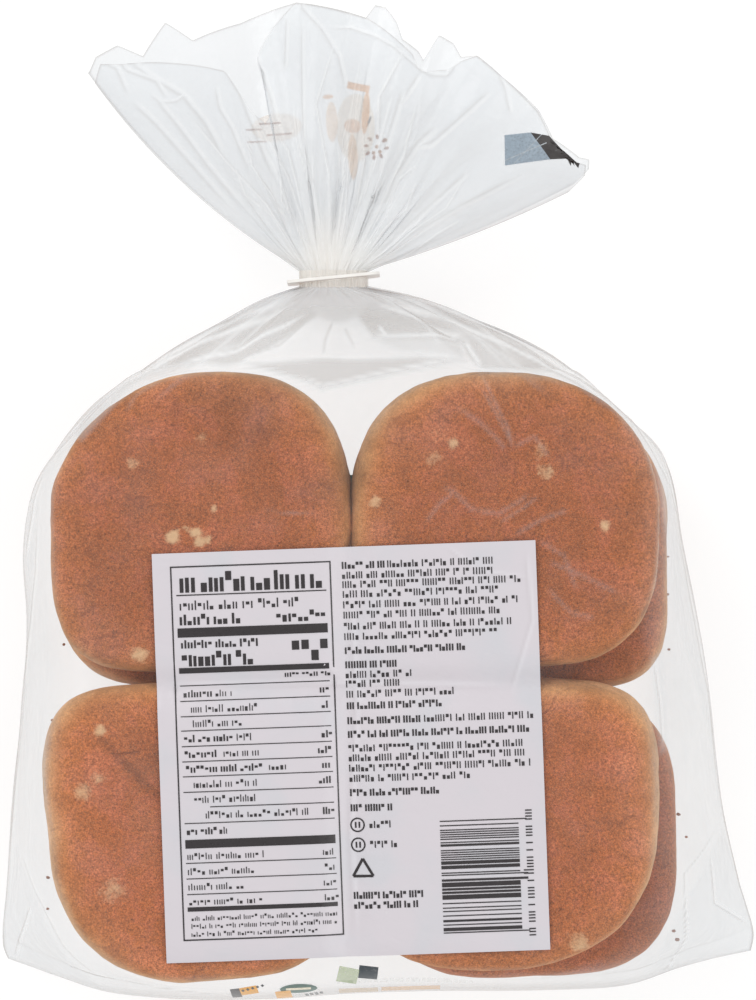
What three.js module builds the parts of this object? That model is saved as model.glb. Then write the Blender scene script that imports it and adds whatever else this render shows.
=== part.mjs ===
// Eight hamburger buns in a clear bread bag, lying on its front with the back of the pack up.
//
// The pack holds two layers of four buns, heels up. The film is tight over the heels, loose at the two
// bottom corners, gathered into a neck behind the buns and held there by a flat plastic clip. Past the clip
// the rest of the film fans out as a pleated ruff with a wavy lip.
//
// The bag is sealed and full, so it is one solid with the buns inside it: a closed skin lofted along the
// bag, from the fold at its bottom to the lip of the ruff. Each row of the loft is a flat loop of two
// sheets, the upper and the lower film, which meet at the pack's left and right edges.
//
// Millimetres, +Z up. The bag's length runs along Y, with the ruff towards +Y. The origin lies on the
// floor, under the middle of the whole pack.

import * as THREE from "three";

// ---------------------------------------------------------------- driving dimensions

const BUN_WIDTH = 92; // across the pack
const BUN_LENGTH = 94; // along the pack
const BUN_SQUARENESS = 2.7; // exponent of the outline: 2 is a circle, and more is squarer
const COLUMN_GAP_X = -8.5; // where the left and right columns of buns meet
const ROW_GAP_Y = -54; // where the upper and lower rows of buns meet
const PACK_TOP = 77; // two layers of buns and the film
const HEEL_CROWN = 1.2; // a heel stands this much higher in its middle than at its rim
const GAP_DEPTH = 3.2; // the film dips this far between two buns
const GAP_WIDTH = 7;

const NECK_X = -13.8;
const NECK_Z = 34;
const NECK_HALF_WIDTH = 10.2;
const NECK_HALF_HEIGHT = 4.5;
const NECK_START_Y = 66.2; // the neck is a plain oval from here, through the clip
const NECK_END_Y = 71.4;

const BODY_PLEATS = 11; // pleats across one sheet, from the neck down over the shoulders
const RUFF_PLEATS = 10; // and from the neck out to the lip
const BODY_PLEAT_HEIGHT = 1.5;
const RUFF_PLEAT_HEIGHT = 3.4;

const RUFF_APEX_Y = 61; // the ruff's pleats would meet at this point, under the neck
const RUFF_MIDDLE_DEG = 81.5; // which way the ruff's middle points, from +X
const RUFF_HALF_SPREAD_DEG = 55.5;
const RUFF_BOW_LEFT = 4.5; // how far its left edge swells past a straight line, and its right one
const RUFF_BOW_RIGHT = 1.5;
const RUFF_RISE = 19; // how far the upper sheet rises above the neck at the lip, and the lower one falls
const MOUTH_DEPTH = 9; // the hollow between the two lips

const CLIP_WIDTH = 28.8;
const CLIP_HEIGHT = 23;
const CLIP_THICKNESS = 0.9;
const CLIP_TURN_DEG = 5.6; // it sits a little askew on the neck
const CLIP_CORNER = 3;
const CLIP_CLEARANCE = 0.65; // between its hole and the film
const CLIP_SLOT = 4.4; // the way in, from its lower edge

// The pack's outline seen from above: X of each edge at a distance Y along the bag.
const LEFT_EDGE = [
  [-148, -115.8], [-139, -119.2], [-126, -118.4], [-95, -115.3], [-57, -111], [-38, -110.2],
  [-16, -111.5], [4, -107.8], [18, -97.5], [37, -78.5], [55.5, -48.5], [62, -36.5],
  [NECK_START_Y, NECK_X - NECK_HALF_WIDTH],
];
const RIGHT_EDGE = [
  [-146, 114.5], [-139, 117.3], [-132, 118.8], [-120, 115.6], [-95, 109.6], [-51, 104],
  [-13, 96], [12, 90.5], [24.5, 79], [43, 57], [55.5, 31], [62, 15],
  [NECK_START_Y, NECK_X + NECK_HALF_WIDTH],
];
// The fold at the bag's bottom: Y of the last row at a place X across the bag.
const BOTTOM_FOLD = [
  [-118, -145.5], [-103, -151], [-81, -156], [-46, -157.6], [0, -157], [60, -154.7], [80, -154],
  [102, -146.5], [118, -140],
];
// The lips of the ruff: length of each sheet from the apex, by its direction in degrees from +X.
const UPPER_LIP = [
  [26, 80], [30, 88], [40, 87], [57, 90], [64, 83], [71, 78], [78, 88], [87, 91], [97, 94.5],
  [103, 88], [107, 79], [112, 71], [116, 81], [124, 91], [130, 99], [137, 104],
];
const LOWER_LIP = [
  [26, 80], [31, 87], [42, 86], [56, 87], [65, 89.5], [71, 79], [77, 88], [83, 94], [98, 94],
  [107, 93], [117, 92.5], [121, 101.5], [127, 101], [133, 105], [137, 104],
];

// Rows of the loft, as distances along Y. They are close together where the skin turns.
const END_ROWS = [0, 1.4, 3.6, 6.8, 11, 17, 25]; // above the bottom fold
const BODY_ROWS = [
  -120, -108, -95, -82, -70, -63, -58, -54, -50, -45, -37, -25, -12, 1, 12, 21, 29, 36, 43, 49, 54.5, 59, 63,
];
const NECK_ROWS = [NECK_START_Y, NECK_END_Y];
const RUFF_ROW_COUNT = 11;
const COLUMNS = 46; // strips across one sheet

// ---------------------------------------------------------------- small helpers

const clamp01 = (x) => Math.min(1, Math.max(0, x));
const mix = (a, b, t) => a + (b - a) * t;
const smooth = (from, to, x) => {
  const t = clamp01((x - from) / (to - from));
  return t * t * (3 - 2 * t);
};
const hump = (x, centre, width) => Math.exp(-(((x - centre) / width) ** 2));
const radians = THREE.MathUtils.degToRad;

// A smooth function through [x, value] pairs, flat past its ends.
function through(pairs) {
  return (x) => {
    const last = pairs.length - 1;
    if (x <= pairs[0][0]) return pairs[0][1];
    if (x >= pairs[last][0]) return pairs[last][1];
    const i = pairs.findIndex(([at]) => at > x) - 1;
    const slope = (k) => {
      const a = pairs[Math.max(0, k - 1)];
      const b = pairs[Math.min(last, k + 1)];
      return (b[1] - a[1]) / (b[0] - a[0]);
    };
    const [[x0, y0], [x1, y1]] = [pairs[i], pairs[i + 1]];
    const width = x1 - x0;
    const t = (x - x0) / width;
    return (
      y0 * (1 + 2 * t) * (1 - t) ** 2 + y1 * t * t * (3 - 2 * t) +
      slope(i) * width * t * (1 - t) ** 2 - slope(i + 1) * width * t * t * (1 - t)
    );
  };
}

const leftEdge = through(LEFT_EDGE);
const rightEdge = through(RIGHT_EDGE);
const bottomFold = through(BOTTOM_FOLD);
const upperLip = through(UPPER_LIP);
const lowerLip = through(LOWER_LIP);

// ---------------------------------------------------------------- the filled part of the bag

const BODY_END_Y = -157; // the bottom fold, at the middle of the pack
const ROW_CENTRES = [ROW_GAP_Y + BUN_LENGTH / 2, ROW_GAP_Y - BUN_LENGTH / 2];

// Half the width that one column of buns holds up at Y: full between the two rows' middles, and round past them.
function bunHalfWidth(y) {
  const past = Math.max(y - ROW_CENTRES[0], ROW_CENTRES[1] - y, 0) / (BUN_LENGTH / 2);
  return (BUN_WIDTH / 2) * (1 - clamp01(past) ** BUN_SQUARENESS) ** (1 / BUN_SQUARENESS);
}

// Height of the sheet over the buns: a low crown on each heel, and a dip over each gap.
function topHeight(x, y) {
  const column = (x - COLUMN_GAP_X) / BUN_WIDTH;
  const row = (y - ROW_GAP_Y) / BUN_LENGTH;
  const crown = HEEL_CROWN * Math.abs(Math.sin(Math.PI * column) * Math.sin(Math.PI * row));
  const inside = smooth(45, 15, y) * smooth(BODY_END_Y + 6, BODY_END_Y + 30, y);
  const dips = Math.max(hump(x, COLUMN_GAP_X, GAP_WIDTH), hump(y, ROW_GAP_Y, GAP_WIDTH));
  return PACK_TOP - HEEL_CROWN + (crown - GAP_DEPTH * dips) * inside;
}

// One point of a row that crosses the buns. side is 1 on the upper sheet and -1 on the lower one.
// The middle share of the sheet lies on the buns, and the rest comes down to the pack's edge.
const FLAT_SHARE = 0.56;
function boxPoint(s, side, y, rise) {
  const edge = s < 0 ? leftEdge(y) : rightEdge(y);
  const held = COLUMN_GAP_X + Math.sign(s) * (BUN_WIDTH / 2 + bunHalfWidth(y)) * 0.93;
  const loose = smooth(4, 26, Math.abs(edge - held)); // 0 where the film is tight on the buns' sides
  const edgeHeight = mix(30, 13, loose);
  const turn = (clamp01((Math.abs(s) - FLAT_SHARE) / (1 - FLAT_SHARE)) * Math.PI) / 2;
  const out = Math.sin(turn) ** (2 / mix(2, 1.5, loose));
  const down = Math.cos(turn) ** (2 * (side > 0 ? mix(0.5, 0.8, loose) : 0.6));
  const x = mix(mix(COLUMN_GAP_X, held, Math.min(1, Math.abs(s) / FLAT_SHARE)), edge, out);
  const sheet = side > 0 ? topHeight(x, y) : 0;
  return [x, y, mix(edgeHeight, sheet, down * rise)];
}

// One point of a row across the shoulders or the neck: an oval, drawn in to the neck.
function ovalPoint(s, side, y) {
  const angle = (s * Math.PI) / 2;
  const open = 1 - smooth(30, NECK_START_Y, y);
  const halfHeight = mix(NECK_HALF_HEIGHT, PACK_TOP / 2, open ** 0.75);
  const middle = mix(NECK_Z, PACK_TOP / 2, open);
  const x = (leftEdge(y) + rightEdge(y)) / 2 + ((rightEdge(y) - leftEdge(y)) / 2) * Math.sin(angle);
  return [x, y, middle + side * halfHeight * Math.cos(angle)];
}

const pleat = (s, count, side) => Math.cos(Math.PI * count * s + (side > 0 ? 0.4 : 1.9)) * (1 - s * s);

function bodyPoint(s, side, y, rise) {
  const drawnIn = smooth(24, 60, y);
  const [xBox, , zBox] = boxPoint(s, side, y, rise);
  const [xOval, , zOval] = ovalPoint(s, side, y);
  const pleats = BODY_PLEAT_HEIGHT * smooth(28, 48, y) * smooth(NECK_START_Y, 58, y);
  const z = mix(zBox, zOval, drawnIn) + side * pleats * pleat(s, BODY_PLEATS, side);
  return [mix(xBox, xOval, drawnIn), y, z];
}

// A row near the bottom follows the fold, and rises from it as the film goes up over the last buns.
function endPoint(s, side, above) {
  const [x] = bodyPoint(s, side, BODY_END_Y + above, 1);
  const bend = (bottomFold(x) - BODY_END_Y) * smooth(46, 0, above);
  const turn = clamp01(above / 25);
  const rise = (1 - (1 - turn) ** (side > 0 ? 3.4 : 5)) ** 0.6;
  const point = bodyPoint(s, side, BODY_END_Y + above, rise);
  point[1] += bend;
  return point;
}

// ---------------------------------------------------------------- the ruff

// One point of the ruff: t is 0 at the neck and 1 at the lip.
function ruffPoint(s, side, t) {
  const [xNeck, , zNeck] = ovalPoint(s, side, NECK_START_Y);
  const direction = RUFF_MIDDLE_DEG - s * RUFF_HALF_SPREAD_DEG;
  const reach = side > 0 ? upperLip(direction) : lowerLip(direction);
  const xLip = NECK_X + reach * Math.cos(radians(direction));
  const yLip = RUFF_APEX_Y + reach * Math.sin(radians(direction));
  const rise = side * RUFF_RISE * Math.sqrt(1 - s * s) * smooth(-0.1, 1, t);
  const fold = side * RUFF_PLEAT_HEIGHT * smooth(0, 0.8, t) * pleat(s, RUFF_PLEATS, side);
  const bow = s * (s < 0 ? RUFF_BOW_LEFT : RUFF_BOW_RIGHT) * 4 * t * (1 - t);
  return [
    mix(xNeck, xLip, t) + bow * Math.sin(radians(direction)),
    mix(NECK_END_Y, yLip, t) - bow * Math.cos(radians(direction)),
    mix(zNeck, NECK_Z, Math.min(1, t * 3)) + rise + fold,
  ];
}

// The bottom of the hollow between the two lips.
function mouthPoint(s) {
  const [xUp, yUp, zUp] = ruffPoint(s, 1, 1);
  const [xLow, yLow, zLow] = ruffPoint(s, -1, 1);
  const [x, y] = [(xUp + xLow) / 2 - NECK_X, (yUp + yLow) / 2 - RUFF_APEX_Y];
  const back = 1 - (MOUTH_DEPTH * (1 - s * s)) / Math.hypot(x, y);
  return [NECK_X + x * back, RUFF_APEX_Y + y * back, (zUp + zLow) / 2];
}

// ---------------------------------------------------------------- the skin

// Every row as a function of s and side, from the bottom fold to the lip.
function rowsOfTheBag() {
  const end = END_ROWS.map((above) => (s, side) => endPoint(s, side, above));
  const body = BODY_ROWS.map((y) => (s, side) => {
    const point = bodyPoint(s, side, y, 1);
    point[1] += (bottomFold(point[0]) - BODY_END_Y) * smooth(46, 0, y - BODY_END_Y);
    return point;
  });
  const neck = NECK_ROWS.map((y) => (s, side) => {
    const [x, , z] = ovalPoint(s, side, NECK_START_Y);
    return [x, y, z];
  });
  const ruff = Array.from({ length: RUFF_ROW_COUNT }, (_, i) => (s, side) =>
    ruffPoint(s, side, ((i + 1) / RUFF_ROW_COUNT) ** 1.35),
  );
  return [...end, ...body, ...neck, ...ruff];
}

// Joins the rows into one closed skin. A row is a loop: the upper sheet from left to right, then the
// lower one back. The first row is a fold, where both sheets share their points.
function bagGeometry() {
  const rows = rowsOfTheBag();
  const loop = 2 * COLUMNS;
  const positions = [];
  const addPoint = (point) => positions.push(...point) / 3 - 1;
  const acrossAt = (j) => {
    const step = j <= COLUMNS ? j : loop - j;
    return (2 * step) / COLUMNS - 1;
  };
  const grid = rows.map((row, i) => {
    const upper = Array.from({ length: COLUMNS + 1 }, (_, j) => addPoint(row(acrossAt(j), 1)));
    const lower = (j) => (i === 0 ? upper[loop - j] : addPoint(row(acrossAt(j), -1)));
    return [...upper, ...Array.from({ length: COLUMNS - 1 }, (_, k) => lower(COLUMNS + 1 + k))];
  });

  const faces = [];
  const addQuad = (a, b, c, d) => {
    for (const triangle of [[a, b, c], [a, c, d]]) {
      if (new Set(triangle).size === 3) faces.push(...triangle);
    }
  };
  for (let i = 0; i + 1 < grid.length; i++) {
    for (let j = 0; j < loop; j++) {
      const next = (j + 1) % loop;
      addQuad(grid[i][j], grid[i][next], grid[i + 1][next], grid[i + 1][j]);
    }
  }

  const lip = grid[grid.length - 1];
  const upperRow = lip.slice(0, COLUMNS + 1);
  const lowerRow = [lip[0], ...lip.slice(COLUMNS + 1).reverse(), lip[COLUMNS]];
  const middleRow = upperRow.map((index, j) =>
    j === 0 || j === COLUMNS ? index : addPoint(mouthPoint(acrossAt(j))),
  );
  for (const [above, below] of [[upperRow, middleRow], [middleRow, lowerRow]]) {
    for (let j = 0; j < COLUMNS; j++) addQuad(above[j], above[j + 1], below[j + 1], below[j]);
  }

  const geometry = new THREE.BufferGeometry();
  geometry.setAttribute("position", new THREE.Float32BufferAttribute(positions, 3));
  geometry.setIndex(faces);
  geometry.computeVertexNormals();
  return geometry;
}

// ---------------------------------------------------------------- the clip

// A flat plate with rounded corners, an oval hole for the neck and a slot in from its lower edge.
function clipGeometry() {
  const [w, h, r] = [CLIP_WIDTH / 2, CLIP_HEIGHT / 2, CLIP_CORNER];
  const holeWidth = NECK_HALF_WIDTH + CLIP_CLEARANCE;
  const holeHeight = NECK_HALF_HEIGHT + CLIP_CLEARANCE;
  const slot = CLIP_SLOT / 2;
  const slotAngle = Math.asin(slot / holeWidth); // where the slot's sides meet the hole, from straight down
  const down = -Math.PI / 2;

  const plate = new THREE.Shape();
  plate.moveTo(slot, -h);
  plate.lineTo(w - r, -h);
  plate.absarc(w - r, -h + r, r, down, 0);
  plate.lineTo(w, h - r);
  plate.absarc(w - r, h - r, r, 0, Math.PI / 2);
  plate.lineTo(-w + r, h);
  plate.absarc(-w + r, h - r, r, Math.PI / 2, Math.PI);
  plate.lineTo(-w, -h + r);
  plate.absarc(-w + r, -h + r, r, Math.PI, 1.5 * Math.PI);
  plate.lineTo(-slot, -h);
  plate.absellipse(0, 0, holeWidth, holeHeight, down - slotAngle, down + slotAngle, true);
  plate.closePath();

  const geometry = new THREE.ExtrudeGeometry(plate, {
    depth: CLIP_THICKNESS, bevelEnabled: false, curveSegments: 20,
  });
  geometry.translate(0, 0, -CLIP_THICKNESS / 2);
  geometry.rotateX(Math.PI / 2); // the plate stands across the neck
  return geometry;
}

// ---------------------------------------------------------------- the pack

const film = new THREE.MeshStandardMaterial({
  color: 0xb97a58, roughness: 0.35, metalness: 0,
});
const clipPlastic = new THREE.MeshStandardMaterial({
  color: 0xf1ece2, roughness: 0.45, metalness: 0,
});

const bag = new THREE.Mesh(bagGeometry(), film);
bag.name = "bag_of_buns";

const clip = new THREE.Mesh(clipGeometry(), clipPlastic);
clip.name = "neck_clip";
clip.position.set(NECK_X, (NECK_START_Y + NECK_END_Y) / 2, NECK_Z);
clip.rotation.z = radians(CLIP_TURN_DEG);

const pack = new THREE.Group();
pack.add(bag, clip);

// Puts the origin on the floor, under the middle of the pack.
const size = new THREE.Box3().setFromObject(pack, true);
pack.position.set(-(size.min.x + size.max.x) / 2, -(size.min.y + size.max.y) / 2, -size.min.z);

export default pack;
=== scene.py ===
"""Eight hamburger buns in a clear bread bag that lies on its front, with the back of the pack up.

The film bag lies round two layers of four buns. It is drawn in to a neck behind them, a flat plastic clip
holds the neck, and the rest of the film fans out beyond it as a ruff.
"""

import math
import random

import bmesh
import bpy
import numpy as np
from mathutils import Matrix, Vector, noise
from mathutils.bvhtree import BVHTree


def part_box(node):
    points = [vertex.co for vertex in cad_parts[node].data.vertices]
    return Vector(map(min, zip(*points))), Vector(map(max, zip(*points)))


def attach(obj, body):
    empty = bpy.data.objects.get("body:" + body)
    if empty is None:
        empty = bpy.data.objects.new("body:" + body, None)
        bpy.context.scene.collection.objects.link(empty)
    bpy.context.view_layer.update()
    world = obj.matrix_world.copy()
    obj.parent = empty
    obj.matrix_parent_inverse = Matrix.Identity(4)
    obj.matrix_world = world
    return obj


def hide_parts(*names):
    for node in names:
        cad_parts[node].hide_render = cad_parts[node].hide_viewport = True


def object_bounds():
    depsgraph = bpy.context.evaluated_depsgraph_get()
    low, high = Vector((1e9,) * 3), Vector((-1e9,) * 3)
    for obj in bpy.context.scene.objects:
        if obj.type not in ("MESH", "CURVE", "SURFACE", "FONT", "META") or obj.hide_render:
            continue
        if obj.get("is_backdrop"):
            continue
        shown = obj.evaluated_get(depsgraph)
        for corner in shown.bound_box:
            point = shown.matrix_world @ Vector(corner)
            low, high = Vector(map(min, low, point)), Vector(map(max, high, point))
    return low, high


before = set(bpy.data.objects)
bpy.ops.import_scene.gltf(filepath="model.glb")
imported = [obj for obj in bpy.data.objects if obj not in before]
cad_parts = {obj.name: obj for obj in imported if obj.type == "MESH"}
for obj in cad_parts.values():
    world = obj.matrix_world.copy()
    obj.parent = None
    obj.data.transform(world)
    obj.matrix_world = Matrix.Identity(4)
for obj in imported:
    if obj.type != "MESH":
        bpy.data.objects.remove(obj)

cad_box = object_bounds()

# ---------------------------------------------------------------- the buns
# Soft wheat buns, 57 g each, baked close together in a pan: the corners that touched a neighbour are square
# and the outer one is round. Two layers of four lie with their flat heels up and their crowns down.

MM = 0.001
clip_low, clip_high = (np.array(corner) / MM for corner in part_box("neck_clip"))
# Every size here is in millimetres. NECK is the clip's middle in them, and ZERO is where in the frame they
# count from.
NECK = np.array([-13.8, 68.8, 34.0])
ZERO = (clip_low + clip_high) / 2 - NECK

BUN_THICK = 38.0
BUN_WIDE = 92.0
CUT_DEPTH = 19.5  # how far below the heel the bun is sliced
SLIDING_DEPTH = 16  # how far down its side a bun slides with its heel
BUN_CUTS = {"upper": 76, "lower": 50}  # cuts along each side of the cube that a bun is shaped from
# From the middle of the heel, over the rim and the side, to the middle of the crown: radius as a share of
# the bun's half width, and depth below the heel.
BUN_PROFILE = [
    (0, 0.5), (0.45, 0.25), (0.82, 0.1), (0.92, 0.7), (0.964, 2.5), (0.989, 6.2), (1.0, 13), (0.99, 20),
    (0.95, 26), (0.86, 31.5), (0.71, 35.4), (0.5, 37.4), (0.25, 37.95), (0, 38),
]
# Middle in X and Y, half width, half length, heel's slide in X and Y, turn in degrees, how square the corners
# are, from the back right one round by the left (2 is round), the direction of the side that baked palest and
# by how much, and how light the crust is.
BUNS = {
    "upper": {
        "bun_upper_left": (-53.0, -7.4, 46.0, 45.4, -0.8, 0.8, 2, (2.7, 2.0, 4.0, 3.2), 15, 0.022, 1.03),
        "bun_upper_right": (38.2, -6.4, 47.2, 44.6, 1.2, 0.6, -2, (2.2, 2.75, 2.8, 2.8), 140, 0.030, 1.04),
        "bun_lower_left": (-55.8, -101.1, 45.3, 45.9, 0.8, 1.0, 3, (3.4, 4.4, 2.2, 3.4), 160, 0.028, 1.17),
        "bun_lower_right": (38.6, -97.5, 46.6, 44.2, -1.0, -1.0, -1, (3.9, 3.0, 3.4, 2.3), 60, 0.024, 1.12),
    },
    "lower": {
        "bun_under_upper_left": (-53.8, -14.0, 46.4, 45.0, 0, 1, 0, (2.6, 2.4, 3.7, 3.0), 225, 0.055, 1.16),
        "bun_under_upper_right": (44.6, -14.3, 46.6, 44.8, 0, 1, 0, (2.3, 3.0, 3.0, 4.6), 340, 0.050, 1.16),
        "bun_under_lower_left": (-55.0, -104.0, 45.5, 44.0, 0, 0, 0, (2.8, 3.0, 2.6, 3.4), 190, 0.030, 1.10),
        "bun_under_lower_right": (45.9, -104.8, 47.4, 44.6, 0, 0, 0, (3.4, 2.8, 3.2, 3.1), 300, 0.0, 1.06),
    },
}
BAKED_MORE = {"upper": 0.0, "lower": 0.045}  # how much further the brown of the heel comes round its rim
HEEL_TOPS = {"upper": 75.9, "lower": 38.2}
RESTS_AT = {"upper": 38.6, "lower": 0.8}  # what each layer's crowns are pressed flat on


def put(points):
    """Turns points in this pack's millimetres into metres in the frame."""
    return (np.asarray(points) + ZERO) * MM


def smooth(low, high, x):
    """0 at low and 1 at high, with a smooth step between."""
    t = np.clip((x - low) / (high - low), 0, 1)
    return t * t * (3 - 2 * t)


def mix(a, b, t):
    return a + (b - a) * t


def through(pairs):
    """A smooth function through (x, value) pairs, flat past its ends."""
    xs, ys = np.array(pairs, dtype=float).T
    before, after = np.r_[0, 0:len(xs) - 1], np.r_[1:len(xs), len(xs) - 1]
    slopes = (ys[after] - ys[before]) / (xs[after] - xs[before])

    def at(x):
        x = np.clip(x, xs[0], xs[-1])
        i = np.clip(np.searchsorted(xs, x, side="right") - 1, 0, len(xs) - 2)
        width = xs[i + 1] - xs[i]
        t = (x - xs[i]) / width
        return (
            ys[i] * (1 + 2 * t) * (1 - t) ** 2 + ys[i + 1] * t * t * (3 - 2 * t)
            + slopes[i] * width * t * (1 - t) ** 2 - slopes[i + 1] * width * t * t * (1 - t)
        )

    return at


def noise_at(points, size, seed):
    """Smooth noise from -1 to 1 at each point, with bumps about size millimetres across."""
    shift = Vector((seed * 17.3, seed * 5.1, seed * 9.7))
    return np.array([noise.noise(Vector(p) / size + shift) for p in points])


def even_profile():
    """The bun's profile as radius and depth at an even step along its line, from heel to crown."""
    knots = np.arange(len(BUN_PROFILE))
    fine = np.linspace(0, knots[-1], 400)
    radius = through([(k, r) for k, (r, _) in zip(knots, BUN_PROFILE)])(fine)
    depth = through([(k, d) for k, (_, d) in zip(knots, BUN_PROFILE)])(fine)
    steps = np.hypot(np.diff(radius) * BUN_WIDE / 2, np.diff(depth))
    line = np.r_[0, np.cumsum(steps)]
    return line / line[-1], radius, depth


def finish_mesh(name, bm, points, attributes, material):
    """Moves the mesh's vertices to the points, stores its attributes and makes the piece."""
    for vert, point in zip(bm.verts, put(points)):
        vert.co = point
    mesh = bpy.data.meshes.new(name)
    bm.to_mesh(mesh)
    bm.free()
    for key, values in attributes.items():
        mesh.attributes.new(key, "FLOAT", "POINT").data.foreach_set("value", values.astype(np.float32))
    mesh.shade_smooth()
    mesh.materials.append(material)
    piece = bpy.data.objects.new(name, mesh)
    bpy.context.collection.objects.link(piece)
    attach(piece, "root")
    return piece


def paint(red, green, blue):
    """A colour given as it looks on a screen, 0 to 255, for a shader's socket."""
    channels = [c / 255 for c in (red, green, blue)]
    return tuple(c / 12.92 if c <= 0.04045 else ((c + 0.055) / 1.055) ** 2.4 for c in channels) + (1.0,)


def add(tree, kind, settings=None, **inputs):
    """Adds a node. Each input is a plain value, or another node's output to link."""
    node = tree.nodes.new(kind)
    for key, value in (settings or {}).items():
        setattr(node, key, value)
    for key, value in inputs.items():
        socket = node.inputs[key.replace("_", " ")]
        if isinstance(value, bpy.types.NodeSocket):
            tree.links.new(value, socket)
        else:
            socket.default_value = value
    return node


def calc(tree, operation, *values, clamp=False):
    """Adds a Math node and gives its output."""
    node = tree.nodes.new("ShaderNodeMath")
    node.operation, node.use_clamp = operation, clamp
    for socket, value in zip(node.inputs, values):
        if isinstance(value, bpy.types.NodeSocket):
            tree.links.new(value, socket)
        else:
            socket.default_value = value
    return node.outputs[0]


def band(tree, value, low, high):
    """0 below low, 1 above high, smooth between, for a value in a shader."""
    node = add(tree, "ShaderNodeMapRange", {"interpolation_type": "SMOOTHSTEP"}, Value=value)
    node.inputs["From Min"].default_value, node.inputs["From Max"].default_value = low, high
    return node.outputs["Result"]


def spread(tree, value, from_low, from_high, to_low, to_high):
    """Maps one range of a shader's value on to another."""
    node = add(tree, "ShaderNodeMapRange", Value=value)
    limits = {"From Min": from_low, "From Max": from_high, "To Min": to_low, "To Max": to_high}
    for key, limit in limits.items():
        node.inputs[key].default_value = limit
    return node.outputs["Result"]


def blend_colours(tree, kind, amount, first, second):
    """Mixes two colours and gives the result."""
    node = tree.nodes.new("ShaderNodeMix")
    node.data_type, node.blend_type = "RGBA", kind
    sockets = [node.inputs[0], node.inputs[6], node.inputs[7]]
    for socket, value in zip(sockets, (amount, first, second)):
        if isinstance(value, bpy.types.NodeSocket):
            tree.links.new(value, socket)
        else:
            socket.default_value = value
    return node.outputs[2]


def new_material(name):
    """A material with its Principled shader, as (material, tree, shader)."""
    material = bpy.data.materials.new(name)
    material.use_nodes = True
    tree = material.node_tree
    return material, tree, tree.nodes["Principled BSDF"]


def new_group(name, inputs, outputs):
    """A shader group with float inputs and the given outputs, as (group, input node, output node)."""
    group = bpy.data.node_groups.new(name, "ShaderNodeTree")
    for key in inputs:
        group.interface.new_socket(key, in_out="INPUT", socket_type="NodeSocketFloat")
    for key in outputs:
        group.interface.new_socket(key, in_out="OUTPUT", socket_type="NodeSocketFloat")
    return group, group.nodes.new("NodeGroupInput"), group.nodes.new("NodeGroupOutput")


def grain_group():
    """Baked dough close up: soft mottling, grit, finer dust, bran specks, open pores and broken wrinkles."""
    outputs = ["Mottle", "Grit", "Dust", "Specks", "Pores", "Wrinkles"]
    group, given, out = new_group("baked_grain", ["Size"], outputs)
    place = add(group, "ShaderNodeTexCoord").outputs["Object"]
    scaled = add(group, "ShaderNodeVectorMath", {"operation": "SCALE"})
    group.links.new(place, scaled.inputs[0])
    group.links.new(given.outputs["Size"], scaled.inputs["Scale"])
    where = scaled.outputs["Vector"]
    broad = add(group, "ShaderNodeTexNoise", Vector=where, Scale=85.0, Detail=6.0, Roughness=0.72)
    group.links.new(broad.outputs["Fac"], out.inputs["Mottle"])
    fine = add(group, "ShaderNodeTexNoise", Vector=where, Scale=950.0, Detail=4.0, Roughness=0.9)
    group.links.new(fine.outputs["Fac"], out.inputs["Grit"])
    dust = add(group, "ShaderNodeTexNoise", Vector=where, Scale=2300.0, Detail=1.0, Roughness=0.7)
    group.links.new(dust.outputs["Fac"], out.inputs["Dust"])
    speck = add(group, "ShaderNodeTexVoronoi", Vector=where, Scale=900.0, Randomness=1.0)
    speck_here = add(group, "ShaderNodeTexNoise", Vector=where, Scale=260.0, Detail=2.0)
    specks = calc(group, "MULTIPLY", band(group, speck.outputs["Distance"], 0.30, 0.12),
                  band(group, speck_here.outputs["Fac"], 0.50, 0.62))
    group.links.new(specks, out.inputs["Specks"])
    pore = add(group, "ShaderNodeTexVoronoi", Vector=where, Scale=1500.0, Randomness=1.0)
    group.links.new(band(group, pore.outputs["Distance"], 0.42, 0.12), out.inputs["Pores"])
    bent = add(group, "ShaderNodeTexNoise", Vector=where, Scale=46.0, Detail=2.5, Roughness=0.5)
    off_line = calc(group, "ABSOLUTE", calc(group, "SUBTRACT", bent.outputs["Fac"], 0.5))
    broken = add(group, "ShaderNodeTexNoise", Vector=where, Scale=60.0, Detail=1.0)
    lines = calc(group, "MULTIPLY", band(group, off_line, 0.022, 0.0),
                 band(group, broken.outputs["Fac"], 0.52, 0.66))
    group.links.new(lines, out.inputs["Wrinkles"])
    return group


grain = grain_group()


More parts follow.
